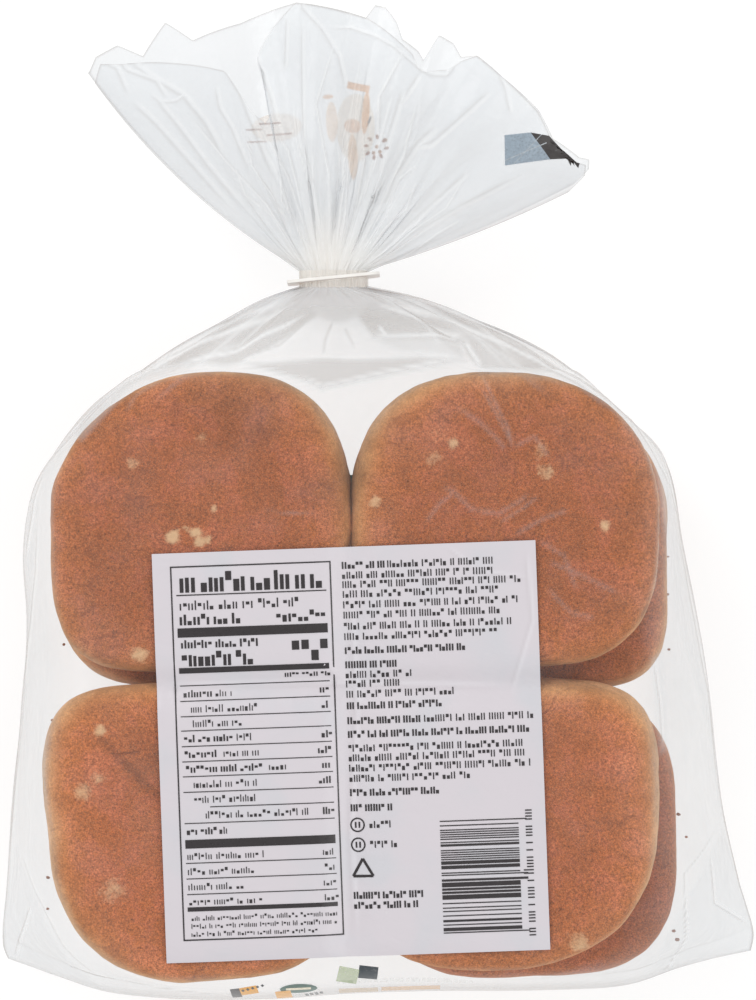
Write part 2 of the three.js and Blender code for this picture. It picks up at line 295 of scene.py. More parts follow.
def crust_material():
    """Crust as brown as its "bake" says, with flour, a groove with painted shade where the bun is sliced, and
    fine grain.
    """
    material, tree, shader = new_material("baked_crust")
    bake = add(tree, "ShaderNodeAttribute", {"attribute_name": "bake"}).outputs["Fac"]
    depth = add(tree, "ShaderNodeAttribute", {"attribute_name": "depth"}).outputs["Fac"]
    flour = add(tree, "ShaderNodeAttribute", {"attribute_name": "flour"}).outputs["Fac"]
    tone = add(tree, "ShaderNodeAttribute", {"attribute_name": "tone"}).outputs["Fac"]
    close = add(tree, "ShaderNodeGroup", {"node_tree": grain})
    close.inputs["Size"].default_value = 1.0
    mottle, grit, dust, specks, pores, wrinkles = (
        close.outputs[k] for k in ("Mottle", "Grit", "Dust", "Specks", "Pores", "Wrinkles")
    )

    # Brown on the heel, golden over the rim, pale on the side and brown again on the crown.
    uneven = calc(tree, "ADD", bake, calc(tree, "MULTIPLY", calc(tree, "SUBTRACT", mottle, 0.5), 0.05))
    uneven = calc(tree, "ADD", uneven, calc(tree, "MULTIPLY", calc(tree, "SUBTRACT", grit, 0.5), 0.018))
    ramp = add(tree, "ShaderNodeValToRGB", Fac=uneven)
    stops = [
        (0.0, (170, 95, 50)), (0.26, (170, 95, 49)), (0.33, (176, 102, 54)), (0.365, (182, 109, 58)),
        (0.385, (188, 120, 68)), (0.41, (198, 142, 92)), (0.46, (206, 162, 118)), (0.55, (203, 158, 116)),
        (0.64, (184, 124, 84)), (0.77, (160, 94, 54)), (1.0, (148, 80, 44)),
    ]
    for element, (position, colour) in zip(ramp.color_ramp.elements, (stops[0], stops[-1])):
        element.position, element.color = position, paint(*colour)
    for position, colour in stops[1:-1]:
        ramp.color_ramp.elements.new(position).color = paint(*colour)
    cloudy = calc(tree, "MULTIPLY", spread(tree, mottle, 0.3, 0.7, 0.74, 1.26), tone)
    on_heel = band(tree, bake, 0.41, 0.35)
    gritty = calc(tree, "ADD", spread(tree, grit, 0.3, 0.7, 0.22, 1.28),
                  spread(tree, dust, 0.3, 0.7, -0.07, 0.57))
    gritty = calc(tree, "ADD", 1.0, calc(tree, "MULTIPLY", calc(tree, "SUBTRACT", gritty, 1.0),
                                         spread(tree, on_heel, 0.0, 1.0, 0.45, 1.0)))
    colour = blend_colours(tree, "MULTIPLY", 1.0, ramp.outputs["Color"], cloudy)
    colour = blend_colours(tree, "MULTIPLY", 1.0, colour, gritty)
    rosy = calc(tree, "MULTIPLY", band(tree, mottle, 0.44, 0.60), on_heel)
    colour = blend_colours(tree, "MULTIPLY", rosy, colour, (0.93, 0.94, 1.35, 1))
    colour = blend_colours(tree, "MIX", calc(tree, "MULTIPLY", calc(tree, "MULTIPLY", specks, on_heel), 0.5),
                           colour, paint(118, 54, 30))
    colour = blend_colours(tree, "MIX", calc(tree, "MULTIPLY", calc(tree, "MULTIPLY", pores, on_heel), 0.26),
                           colour, paint(226, 160, 110))
    # Painted shade in the fine wrinkles, which the bump also presses in.
    colour = blend_colours(tree, "MIX", calc(tree, "MULTIPLY", wrinkles, 0.26), colour, paint(112, 52, 32))
    patchy = calc(tree, "ADD", calc(tree, "MULTIPLY", calc(tree, "SUBTRACT", grit, 0.5), 0.9),
                  calc(tree, "MULTIPLY", calc(tree, "SUBTRACT", mottle, 0.5), 1.6))
    floury = calc(tree, "MULTIPLY", band(tree, calc(tree, "ADD", flour, patchy), 0.22, 0.95), 0.85)
    colour = blend_colours(tree, "MIX", floury, colour, paint(228, 190, 146))
    # The groove where the bun is sliced: painted shade in its colour, and pressed in by the bump below.
    cut = calc(tree, "ABSOLUTE", calc(tree, "SUBTRACT", depth, CUT_DEPTH))
    sliced = calc(tree, "MULTIPLY", band(tree, cut, 0.75, 0.15), 0.55)
    colour = blend_colours(tree, "MIX", sliced, colour, paint(128, 78, 50))
    tree.links.new(colour, shader.inputs["Base Color"])

    rough = calc(tree, "ADD", 0.45, calc(tree, "MULTIPLY", mottle, 0.3))
    tree.links.new(rough, shader.inputs["Roughness"])
    height = calc(tree, "ADD", calc(tree, "MULTIPLY", mottle, 1.4), calc(tree, "MULTIPLY", grit, 0.9))
    height = calc(tree, "SUBTRACT", height, calc(tree, "MULTIPLY", pores, 0.2))
    height = calc(tree, "SUBTRACT", height, calc(tree, "MULTIPLY", wrinkles, 0.8))
    height = calc(tree, "SUBTRACT", height, calc(tree, "MULTIPLY", sliced, 1.5))
    bump = add(tree, "ShaderNodeBump", Height=height, Strength=0.7, Distance=0.0007)
    tree.links.new(bump.outputs["Normal"], shader.inputs["Normal"])
    shader.inputs["Specular IOR Level"].default_value = 0.3
    return material


crust = crust_material()

# Where flour or bare dough leaves a heel pale: X, Y, radius and strength.
FLOUR_SPOTS = [
    (-61.5, -10.9, 1.9, 1.0), (-55.0, -9.8, 1.6, 1.0), (-54.0, -12.6, 1.5, 0.9), (-51.4, -12.2, 1.1, 0.8),
    (-57.6, -8.6, 1.2, 0.8), (-49.6, -2.6, 1.2, 0.69), (-74.0, 10.9, 2.2, 0.54), (-53.2, 18.4, 1.9, 0.59),
    (16.5, 12.5, 2.4, 0.54), (-1.0, -0.8, 2.0, 0.72), (22.5, 17, 1.4, 0.54), (50.5, 8.3, 2.6, 0.72),
    (49.0, 14.8, 2.8, 0.54), (68.5, -7.9, 1.6, 0.64), (-84.0, -69.5, 1.9, 0.7), (-89.5, -88, 2.4, 0.64),
    (-84.0, -84, 1.8, 0.54), (-80, -118, 3.6, 0.49), (60.5, -133.0, 3.4, 0.72), (38, -61, 4, 0.54),
    (-72.0, -46.5, 2.4, 0.7), (64, -88, 2.6, 0.44), (-86.5, -59, 1.4, 0.44), (-66, -44, 1.2, 0.64),
]
# Where a heel baked darker, with painted shade on the heel edges beside the gap between the upper buns: X, Y,
# radius and how much.
DARKER_CRUST_AND_SHADE = [
    (-42, 31, 12, 0.16), (-50, 28, 7, 0.08), (-34, 19, 8, 0.07), (-66, -24, 12, 0.06), (30, 9, 9, 0.07),
    (48, -12, 12, 0.06), (71, -30, 7, 0.10), (-72, -86, 6, 0.10), (-60, -66, 9, 0.05), (60, -112, 10, 0.06),
    (-14, 5, 7, 0.22), (-5, 6, 5, 0.12), (44, 30, 14, 0.05), (-69, -75, 8, 0.12), (-62, -82, 7, 0.08),
]
# Where a heel is creased: from and to, width, and how much painted shade darkens the crease, which is also
# pressed in by as many millimetres.
CREASES = [
    ((-83.6, -72.3), (-66.4, -89.5), 1.1, 0.36), ((-48.6, 16.3), (-43.2, 20.2), 1.2, 0.18),
    ((-24, 14.8), (-21.8, 6.6), 1.0, 0.18), ((-76, -3), (-70.6, -10), 0.9, 0.14),
    ((-61, 28.6), (-61.6, 21.7), 1.4, 0.16), ((39, 19), (37.8, 9.3), 1.4, 0.13),
    ((28, 27), (35, 22), 1.2, 0.12), ((56, -112), (64, -106), 1.2, 0.15), ((50, -66), (58, -71), 1.2, 0.12),
]


def make_bun(name, layer, place):
    """Rounds a ball into a bun, lays it in its place in its layer, and marks how each point baked."""
    x0, y0, half_x, half_y, slide_x, slide_y, turn, corners, pale, pale_gain, lightness = place
    seed = sum(map(ord, name + layer)) % 97
    bm = bmesh.new()
    bmesh.ops.create_cube(bm, size=2)
    bmesh.ops.subdivide_edges(bm, edges=bm.edges[:], cuts=BUN_CUTS[layer], use_grid_fill=True)
    ball = np.array([v.co.normalized() for v in bm.verts])
    around = np.arctan2(ball[:, 1], ball[:, 0])
    along = np.arccos(np.clip(ball[:, 2], -1, 1)) / math.pi  # 0 at the heel's middle, 1 at the crown's

    line, radius, depth = even_profile()
    share = np.interp(along, line, radius)
    down = np.interp(along, line, depth)
    quarters = (around / (math.pi / 2) - 0.5) % 4
    nearest = quarters.astype(int)
    square = np.array(corners)[nearest]
    square = mix(square, np.array(corners)[(nearest + 1) % 4], smooth(0.2, 0.8, quarters - nearest))
    cos, sin = np.abs(np.cos(around)), np.abs(np.sin(around))
    outline = ((cos / half_x) ** square + (sin / half_y) ** square) ** (-1 / square)
    outline *= 1 + 0.010 * np.sin(3 * around + seed) + 0.006 * np.sin(5 * around + 2.3 * seed)
    reach = outline * share
    swing = around + math.radians(turn)
    heel = smooth(SLIDING_DEPTH, 0, down)
    x = x0 + reach * np.cos(swing) + slide_x * heel
    y = y0 + reach * np.sin(swing) + slide_y * heel
    z = HEEL_TOPS[layer] - down * (BUN_THICK / BUN_PROFILE[-1][1])
    points = np.column_stack([x, y, z])

    # Soft lumps all over, and fewer of them where the buns press on each other and the table.
    normal = ball / np.linalg.norm(ball * [1, 1, 1.6], axis=1)[:, None]
    lumps = 0.55 * noise_at(points, 26, seed) + 0.28 * noise_at(points, 9, seed)
    lumps += 0.16 * noise_at(points, 4, seed)
    free = mix(0.6, 1.0, smooth(0.3, 0.42, along) * smooth(0.95, 0.75, along))
    points += normal * (lumps * free)[:, None]
    points[:, 2] = np.maximum(points[:, 2], RESTS_AT[layer])

    flour = np.zeros(len(points))
    if layer == "upper":
        ragged = 0.5 * noise_at(points, 3.2, seed + 1) + 0.35 * noise_at(points, 1.3, seed)
        for sx, sy, size, strength in FLOUR_SPOTS:
            away = np.hypot(x - sx, y - sy) / size + ragged
            flour = np.maximum(flour, strength * smooth(1.9, 0.2, away))
    pale_side = smooth(-0.2, 1, np.cos(around - math.radians(pale)))
    bake = along - BAKED_MORE[layer] + pale_gain * pale_side + 0.010 * noise_at(points, 12, seed + 2)
    tone = lightness * (1 + 0.06 * noise_at(points, 22, seed + 3) + 0.03 * noise_at(points, 8, seed + 4))
    # Crust that baked darker, and painted shade by the gap between the upper buns.
    for dark_x, dark_y, size, strength in DARKER_CRUST_AND_SHADE:
        tone *= 1 - strength * np.exp(-((x - dark_x) ** 2 + (y - dark_y) ** 2) / size ** 2)
    for (x1, y1), (x2, y2), width, strength in CREASES if layer == "upper" else []:
        t = np.clip(((x - x1) * (x2 - x1) + (y - y1) * (y2 - y1)) / math.dist((x1, y1), (x2, y2)) ** 2, 0, 1)
        creased = np.exp(-((x - mix(x1, x2, t)) ** 2 + (y - mix(y1, y2, t)) ** 2) / width ** 2) * (down < 3)
        # Painted shade along the crease, and a shallow dip in the heel.
        tone *= 1 - strength * creased
        points[:, 2] -= strength * creased
    attributes = {"bake": bake, "depth": down, "flour": flour, "tone": tone}
    return finish_mesh(name, bm, points, attributes, crust)


buns = [make_bun(name, layer, place) for layer, places in BUNS.items() for name, place in places.items()]

# ---------------------------------------------------------------- the film over the buns
# Thin clear polyethylene. One sheet lies over the heels and one under the crowns, and they meet in a fold
# at the pack's edges. The film is tight on the buns, loose at the bottom corners and pleated to the neck.

PACK_TOP = 77.0
END_Y = -157.0  # the bottom fold
NECK_START_Y, NECK_END_Y = 66.2, 71.4
NECK_HALF_WIDTH, NECK_HALF_HEIGHT = 10.2, 4.5
COLUMN_GAP_X, ROW_GAP_Y = -8.5, -56.5  # the gaps between the buns
GAP_DEPTH, GAP_WIDTH = 2.0, 5.0  # how the film dips over them
ROW_MIDDLES = (-101.0, -7.0)  # Y of the two rows of buns
BUN_SQUARENESS = 2.7  # 2 is round
TIGHT_EDGE_HEIGHT, LOOSE_EDGE_HEIGHT = 30, 13  # where the two sheets meet, above the table
DRAWN_IN_Y = (24, 60)  # from here to here the film leaves the buns for the neck
END_REACH = 46  # how far up the pack the curve of the bottom fold is felt
FILM_REST, FILM_GAP = 0.3, 0.3  # the film's least height over the table, and over the heels
# The outline that the film shows from above.
LEFT_EDGE = through([
    (-148, -115.0), (-141, -118.4), (-126, -117.6), (-95, -115.0), (-57, -111), (-38, -110.2), (-16, -111.5),
    (4, -107.8), (18, -97.5), (37, -78.5), (55.5, -48.5), (62, -36.5),
    (NECK_START_Y, NECK[0] - NECK_HALF_WIDTH),
])
RIGHT_EDGE = through([
    (-144, 117.4), (-137, 118.6), (-128, 116.4), (-120, 114.0), (-95, 108.6), (-51, 103.4), (-13, 96),
    (12, 90.5), (24.5, 79), (43, 57), (55.5, 31), (62, 15), (NECK_START_Y, NECK[0] + NECK_HALF_WIDTH),
])
BOTTOM_FOLD = through([
    (-118, -144.5), (-102, -150), (-84, -155), (-56, -156.8), (-31, -156.4), (-9, -154.8), (17, -154),
    (60, -153.8), (79, -152.6), (95, -147.6), (107, -144.6), (117.5, -142.4),
])
FLAT_SHARE = 0.56  # the share of a sheet that lies flat on the buns
HELD_SHARE = 0.93  # and the share of the buns' width that it covers

# Folds that the film has taken, as seen from above: height, width, and the points that each runs through.
BODY_FOLDS = [
    (0.12, 0.5, [(28.7, 42.2), (39.1, 22), (40.5, 15.3)]),
    (0.14, 0.75, [(22.7, 28.6), (30.9, 22.9), (36.3, 17.5), (38.4, 14.8)]),
    (0.12, 0.65, [(30.9, 34), (36, 25), (40.5, 16.3)]),
    (0.12, 0.65, [(40.5, 15.5), (47, 19), (52, 12)]),
    (0.12, 0.75, [(18.5, 3.9), (22.7, 2.4), (28.2, -3), (36.3, -4.5), (43.2, -0.3), (46, 2.4)]),
    (0.10, 0.65, [(14.3, -7.2), (18.5, -1.5), (23.4, 2.4)]),
    (0.10, 0.65, [(36.3, -7.2), (43.2, -3), (48.7, 1.2)]),
    (0.12, 0.75, [(40.5, -11.1), (50.2, -5.7), (58.3, -3)]),
    (0.12, 0.75, [(50.2, -18.1), (62.5, -23.5), (73.4, -28.9)]),
    (0.10, 0.65, [(48, -12), (56, -17), (60, -28)]),
    (0.10, 0.65, [(50, -26), (58, -34), (66, -36)]),
    (0.12, 0.6, [(-75.5, 26.3), (-73.1, 31.3), (-64, 37.1)]),
    (0.08, 0.4, [(-36, -3.2), (-15.9, -4.8)]),
    (0.5, 1.0, [(-13.4, 55.7), (-16, 48.6), (-16.5, 43.3)]),
    (0.4, 1.0, [(-10.4, 53.3), (-6.8, 46.2)]),
    (0.4, 1.0, [(-0.9, 52.7), (2, 49.2)]),
    (0.6, 1.0, [(-41, 41.4), (-17.4, 42.4), (12.1, 43.1), (26.9, 42.5)]),
    (0.4, 1.0, [(-24, 36.3), (-16.9, 33.2), (2, 37.5), (26.9, 42.2)]),
    (0.5, 1.0, [(-3, 49.3), (12, 49), (25.7, 48.9)]),
    (0.4, 1.0, [(25.5, 49.2), (28, 44.5), (30.5, 40)]),
    (0.5, 1.0, [(-23.9, 63.2), (-45.5, 52.4), (-66, 43.6), (-78, 35)]),
    (0.4, 1.0, [(-21, 59), (-42, 47.5), (-62, 41.5)]),
    (0.4, 1.0, [(-19, 57), (-30, 47), (-44, 41.8)]),
    (0.6, 1.0, [(-26, 64), (-50, 54), (-74, 40), (-92, 22), (-100, 12)]),
    (0.6, 1.0, [(-0.9, 65.2), (18, 59.3), (31.1, 53.4), (52.3, 42.7), (65.3, 34.4), (74.8, 27.3)]),
    (0.5, 1.0, [(4, 64), (26, 58.5), (50, 47), (70, 34), (82, 21)]),
    (0.4, 1.0, [(0, 62), (22, 54), (46, 42.5)]),
    (0.4, 1.0, [(-2, 60), (16, 53), (27, 48.5)]),
    (0.5, 1.0, [(30, 50), (48, 41.5), (60, 35), (70, 27)]),
    (1.0, 0.5, [(-104.2, -2.2), (-104.5, -20.9), (-107.3, -39.6), (-111.4, -64.5), (-113.9, -95.6),
                (-116.3, -131.8)]),
    (0.6, 0.5, [(-102, 9.3), (-105.8, 0), (-108.9, -18.7)]),
    (0.7, 0.5, [(75.5, 27.4), (79.3, 20.2), (91.7, 0.9)]),
    (0.6, 0.5, [(86.4, 15.6), (90.5, 3.1), (94.2, -6.2)]),
    (0.7, 0.5, [(91.7, -3.1), (97.3, -31.1), (103.6, -60.1), (106.4, -90.3)]),
    (0.5, 0.5, [(83.3, -48.3), (85.5, -62.3), (86.4, -76.3)]),
    (0.7, 0.5, [(107.6, -100.6), (93.3, -114.3), (94.2, -133.9), (88, -151.1)]),
    (0.7, 0.5, [(102.6, -109), (103.6, -124.6), (116.7, -133.9)]),
    (0.7, 0.5, [(-112.3, -105.9), (-102, -123), (-95.8, -134.9), (-83.3, -148)]),
    (0.6, 0.5, [(-106.7, -123.7), (-114.5, -144.2)]),
    (0.5, 0.5, [(-98.9, -143.3), (-77.1, -147), (-45.9, -151.1)]),
]
# Where the film lies doubled, as the corners of each flap.
DOUBLED_FILM = [
    [(-104, -2), (-106, -24), (-110.4, -66), (-112, -66), (-111.5, -16), (-107.8, 4)],
    [(-113, -107), (-106, -120), (-98, -136), (-84, -154), (-100, -150), (-115, -147), (-118.4, -140)],
    [(108, -103), (114, -118), (118.8, -138), (116.6, -144), (96, -148), (82, -152), (88, -134), (94, -122)],
    [(84, 14), (90, 6), (97, -30), (105.5, -74), (108, -100), (104, -74), (97, -50), (91, -36)],
    [(82.5, -48), (86.5, -46), (88.5, -76), (85.5, -77)],
]
# Where it lies in several layers, drawn in to the neck or folded on itself: how thick it looks, which sets
# its haze and its painted warm shade, and its corners.
GATHERED_FILM = [
    (0.9, [(-24.5, 64), (-17.4, 57), (-26.9, 49.8), (-41.1, 41.3), (-64.7, 40.9), (-66, 43.4)]),
    (0.6, [(-66, 43.4), (-78.9, 35.7), (-92, 20), (-89, 18), (-75.5, 33.2), (-69.5, 38), (-64.7, 40.9)]),
    (0.9, [(-0.9, 65.2), (18, 59.3), (31.1, 53.4), (52.3, 42.7), (65.3, 34.4), (74.8, 27.3), (59.4, 35.6),
           (54.7, 38.6), (34.6, 39.4), (31.1, 39.7), (25.7, 48.6), (12.1, 49.2), (-1.5, 49.2), (-6.8, 56.9)]),
    (0.5, [(-3.3, 49.2), (12.1, 43.4), (26.3, 42.7), (25.7, 48.6)]),
    (1.0, [(-41.1, 41.3), (-17.4, 42.4), (12.1, 43.1), (26.9, 42.4), (-16.9, 33.2), (-24, 36.3)]),
    (0.7, [(-24, 65.2), (-0.3, 65.2), (-5.7, 56.9), (-12.8, 54), (-21, 56.9)]),
]


def over_heels(x, y):
    """Height of the upper sheet: flat on the heels, with a dip over the gaps between them."""
    inside = smooth(42, 20, y) * smooth(END_Y + 6, END_Y + 26, y)
    over_column = np.exp(-((x - COLUMN_GAP_X) / GAP_WIDTH) ** 2)
    over_row = np.exp(-((y - ROW_GAP_Y) / GAP_WIDTH) ** 2)
    return PACK_TOP - GAP_DEPTH * np.maximum(over_column, over_row) * inside


def neck_oval(s, side, y):
    """X and Z of a sheet that is drawn in to the neck's flat oval, and opens out below it."""
    opening = 1 - smooth(30, NECK_START_Y, y)
    half_height = mix(NECK_HALF_HEIGHT, PACK_TOP / 2, opening ** 0.75)
    middle = mix(NECK[2], PACK_TOP / 2, opening)
    left, right = LEFT_EDGE(y), RIGHT_EDGE(y)
    x = (left + right) / 2 + (right - left) / 2 * np.sin(s * math.pi / 2)
    return x, middle + side * half_height * np.cos(s * math.pi / 2)


def body_sheet(s, t, side):
    """A smooth sheet, from the bottom fold at t = 0 to the neck at t = 1; s runs from left to right."""
    y = END_Y + (NECK_START_Y - END_Y) * t ** 1.15
    above = y - END_Y
    near_end = smooth(END_REACH, 0, above)
    corner = np.where(s < 0, BOTTOM_FOLD(-117), BOTTOM_FOLD(117)) - END_Y
    edge = np.where(s < 0, LEFT_EDGE(y + corner * near_end), RIGHT_EDGE(y + corner * near_end))
    past = np.maximum(np.maximum(y - ROW_MIDDLES[1], ROW_MIDDLES[0] - y), 0) / (BUN_WIDE / 2 + 1)
    half_bun = BUN_WIDE / 2 * (1 - np.clip(past, 0, 1) ** BUN_SQUARENESS) ** (1 / BUN_SQUARENESS)
    held = COLUMN_GAP_X + np.sign(s) * (BUN_WIDE / 2 + half_bun) * HELD_SHARE
    loose = smooth(4, 26, np.abs(edge - held))
    edge_height = mix(TIGHT_EDGE_HEIGHT, LOOSE_EDGE_HEIGHT, loose)
    turn = np.clip((np.abs(s) - FLAT_SHARE) / (1 - FLAT_SHARE), 0, 1) * math.pi / 2
    out = np.sin(turn) ** (2 / mix(2.0, 1.5, loose))
    down = np.cos(turn) ** (2 * (mix(0.5, 0.8, loose) if side > 0 else 0.6))
    x = mix(mix(COLUMN_GAP_X, held, np.minimum(1, np.abs(s) / FLAT_SHARE)), edge, out)
    rise = (1 - (1 - np.clip(above / 25, 0, 1)) ** (3.4 if side > 0 else 5)) ** 0.6
    z = mix(edge_height, over_heels(x, y) if side > 0 else 0.0, down * rise)
    oval_x, oval_z = neck_oval(s, side, y)
    drawn_in = smooth(*DRAWN_IN_Y, y)
    x, z = mix(x, oval_x, drawn_in), mix(z, oval_z, drawn_in)
    y = y + (BOTTOM_FOLD(x) - END_Y) * near_end
    return x, y, z


def pleats(s, seed, counts):
    """Uneven pleats across a sheet, from -1 to 1: for each count one wave with nearly straight flanks."""
    draw = random.Random(seed)
    total, weight = 0.0, 0.0
    for count in counts:
        bend = 0.7 * np.sin(3.1 * s + draw.uniform(0, 6.28))
        wave = np.sin(math.pi * count * s + draw.uniform(0, 6.28) + bend)
        size = count ** -0.6
        total = total + size * np.arcsin(0.98 * wave) / 1.37
        weight += size
    return total / weight * 1.6


def neck_pleats(s, side):
    """How far a sheet's pleats stand off the neck's oval."""
    return 0.26 * pleats(s, 40 + side, (9, 17, 29)) - 0.3


def crease_marks(x, y, folds):
    """What the folds do at each point: the ridge's height, its line of painted shade, and the painted
    highlight beside it.
    """
    height, painted_shade, painted_highlight = (np.zeros_like(x) for _ in range(3))
    for rise, width, route in folds:
        away, along = np.full_like(x, 1e6), np.zeros_like(x)
        pieces = len(route) - 1
        for i, ((x0, y0), (x1, y1)) in enumerate(zip(route, route[1:])):
            length = math.hypot(x1 - x0, y1 - y0)
            t = np.clip(((x - x0) * (x1 - x0) + (y - y0) * (y1 - y0)) / length ** 2, 0, 1)
            off = np.hypot(x - mix(x0, x1, t), y - mix(y0, y1, t))
            left = np.sign((x1 - x0) * (y - y0) - (y1 - y0) * (x - x0))
            nearer = off < np.abs(away)
            away, along = np.where(nearer, left * off, away), np.where(nearer, (i + t) / pieces, along)
        ends = smooth(0, 0.18, along) * smooth(1, 0.82, along)
        height = np.maximum(height, rise * ends * np.exp(-np.abs(away) / width))
        painted_shade = np.maximum(painted_shade, ends * np.exp(-(away / width / 0.6) ** 2))
        painted_highlight = np.maximum(painted_highlight, ends * np.exp(-((away - 1.1 * width) / width / 0.6) ** 2))
    return height, painted_shade, painted_highlight


def fans_of_creases(seed, count, centre, directions, starts, ends, widths):
    """Fine creases that run out from the neck. Each range gives a crease its direction, length and width."""
    draw = random.Random(seed)
    folds = []
    for _ in range(count):
        direction = draw.triangular(*directions)
        start, end = draw.uniform(*starts), draw.uniform(*ends)
        width = draw.uniform(*widths)
        route = []
        for step in range(4):
            angle = math.radians(direction + step * draw.uniform(-1.6, 1.6))
            reach = mix(start, end, step / 3)
            route.append((centre[0] + reach * math.cos(angle), centre[1] + reach * math.sin(angle)))
        folds.append((draw.uniform(0.2, 0.7), width, route))
    return folds


def inside_flap(x, y, corners, soft=1.2):
    """1 inside the flap with these corners and 0 outside it, with a soft edge."""
    nearest, inside = np.full_like(x, 1e6), np.zeros(x.shape, dtype=bool)
    for (x0, y0), (x1, y1) in zip(corners, corners[1:] + corners[:1]):
        t = np.clip(((x - x0) * (x1 - x0) + (y - y0) * (y1 - y0)) / math.dist((x0, y0), (x1, y1)) ** 2, 0, 1)
        nearest = np.minimum(nearest, np.hypot(x - mix(x0, x1, t), y - mix(y0, y1, t)))
        if y0 != y1:
            inside ^= ((y0 > y) != (y1 > y)) & (x < x0 + (y - y0) * (x1 - x0) / (y1 - y0))
    return smooth(-soft, soft, np.where(inside, nearest, -nearest))


def surface_of(*pieces):
    """A search tree of the pieces' faces, to lay film or print on."""
    corners, faces = [], []
    for piece in pieces:
        faces += [[len(corners) + i for i in face.vertices] for face in piece.data.polygons]
        corners += [vert.co for vert in piece.data.vertices]
    return BVHTree.FromPolygons(corners, faces)


def sheet_of_film(name, across, along, side, shape, detail, haze, over=None):
    """A grid of film. shape places it, detail lifts it and gives its painted shade and highlights, and haze
    says how milky it is.
    """
    bm = bmesh.new()
    bmesh.ops.create_grid(bm, x_segments=across, y_segments=along, size=1)
    flat = np.array([v.co[:2] for v in bm.verts]).reshape(along + 1, across + 1, 2)
    if side < 0:
        bmesh.ops.reverse_faces(bm, faces=bm.faces[:])
    s, t = flat[..., 0], (flat[..., 1] + 1) / 2
    base = np.stack(shape(s, t), axis=-1)
    by_s, by_t = np.gradient(base, axis=1), np.gradient(base, axis=0)
    normal = np.cross(by_s, by_t)
    normal /= np.linalg.norm(normal, axis=-1, keepdims=True) + 1e-9
    lift, painted_shade, painted_highlight = detail(s, t, base)
    points = base + normal * lift[..., None]
    points[..., 2] = np.maximum(points[..., 2], FILM_REST)
    if over:
        for point in points.reshape(-1, 3):
            spot = over.ray_cast(Vector(put([*point[:2], 200])), Vector((0, 0, -1)))[0]
            if spot is not None:
                point[2] = max(point[2], spot.z / MM - ZERO[2] + FILM_GAP)
    step = np.linalg.norm(by_s, axis=-1) + 0.25
    # Painted shade in the hollows of the lift, and painted highlights on its ridges.
    bend = np.gradient(np.gradient(lift, axis=1), axis=1) / step ** 2
    painted_shade = np.clip(painted_shade + smooth(0.1, 1.2, -bend) * 0.3, 0, 1)
    painted_highlight = np.clip(painted_highlight + smooth(0.1, 1.2, bend) * 0.3, 0, 1)
    attributes = {"painted_shade": painted_shade.ravel(), "painted_highlight": painted_highlight.ravel(), "haze": haze(s, t, base).ravel()}
    return finish_mesh(name, bm, points.reshape(-1, 3), attributes, film)


def film_ripple_group():
    """What thin film does close up: slack ripples, for a bump, and a faint cloudiness."""
    group, given, out = new_group("film_ripple", ["Size"], ["Height", "Cloud"])
    place = add(group, "ShaderNodeTexCoord").outputs["Object"]
    scaled = add(group, "ShaderNodeVectorMath", {"operation": "SCALE"})
    group.links.new(place, scaled.inputs[0])
    group.links.new(given.outputs["Size"], scaled.inputs["Scale"])
    where = scaled.outputs["Vector"]
    slack = add(group, "ShaderNodeTexNoise", Vector=where, Scale=110.0, Detail=2.0, Distortion=0.6)
    tight = add(group, "ShaderNodeTexNoise", Vector=where, Scale=420.0, Detail=2.0)
    height = calc(group, "ADD", slack.outputs["Fac"], calc(group, "MULTIPLY", tight.outputs["Fac"], 0.25))
    group.links.new(height, out.inputs["Height"])
    cloud = add(group, "ShaderNodeTexNoise", Vector=where, Scale=60.0, Detail=4.0)
    group.links.new(band(group, cloud.outputs["Fac"], 0.4, 0.75), out.inputs["Cloud"])
    return group


film_ripple = film_ripple_group()


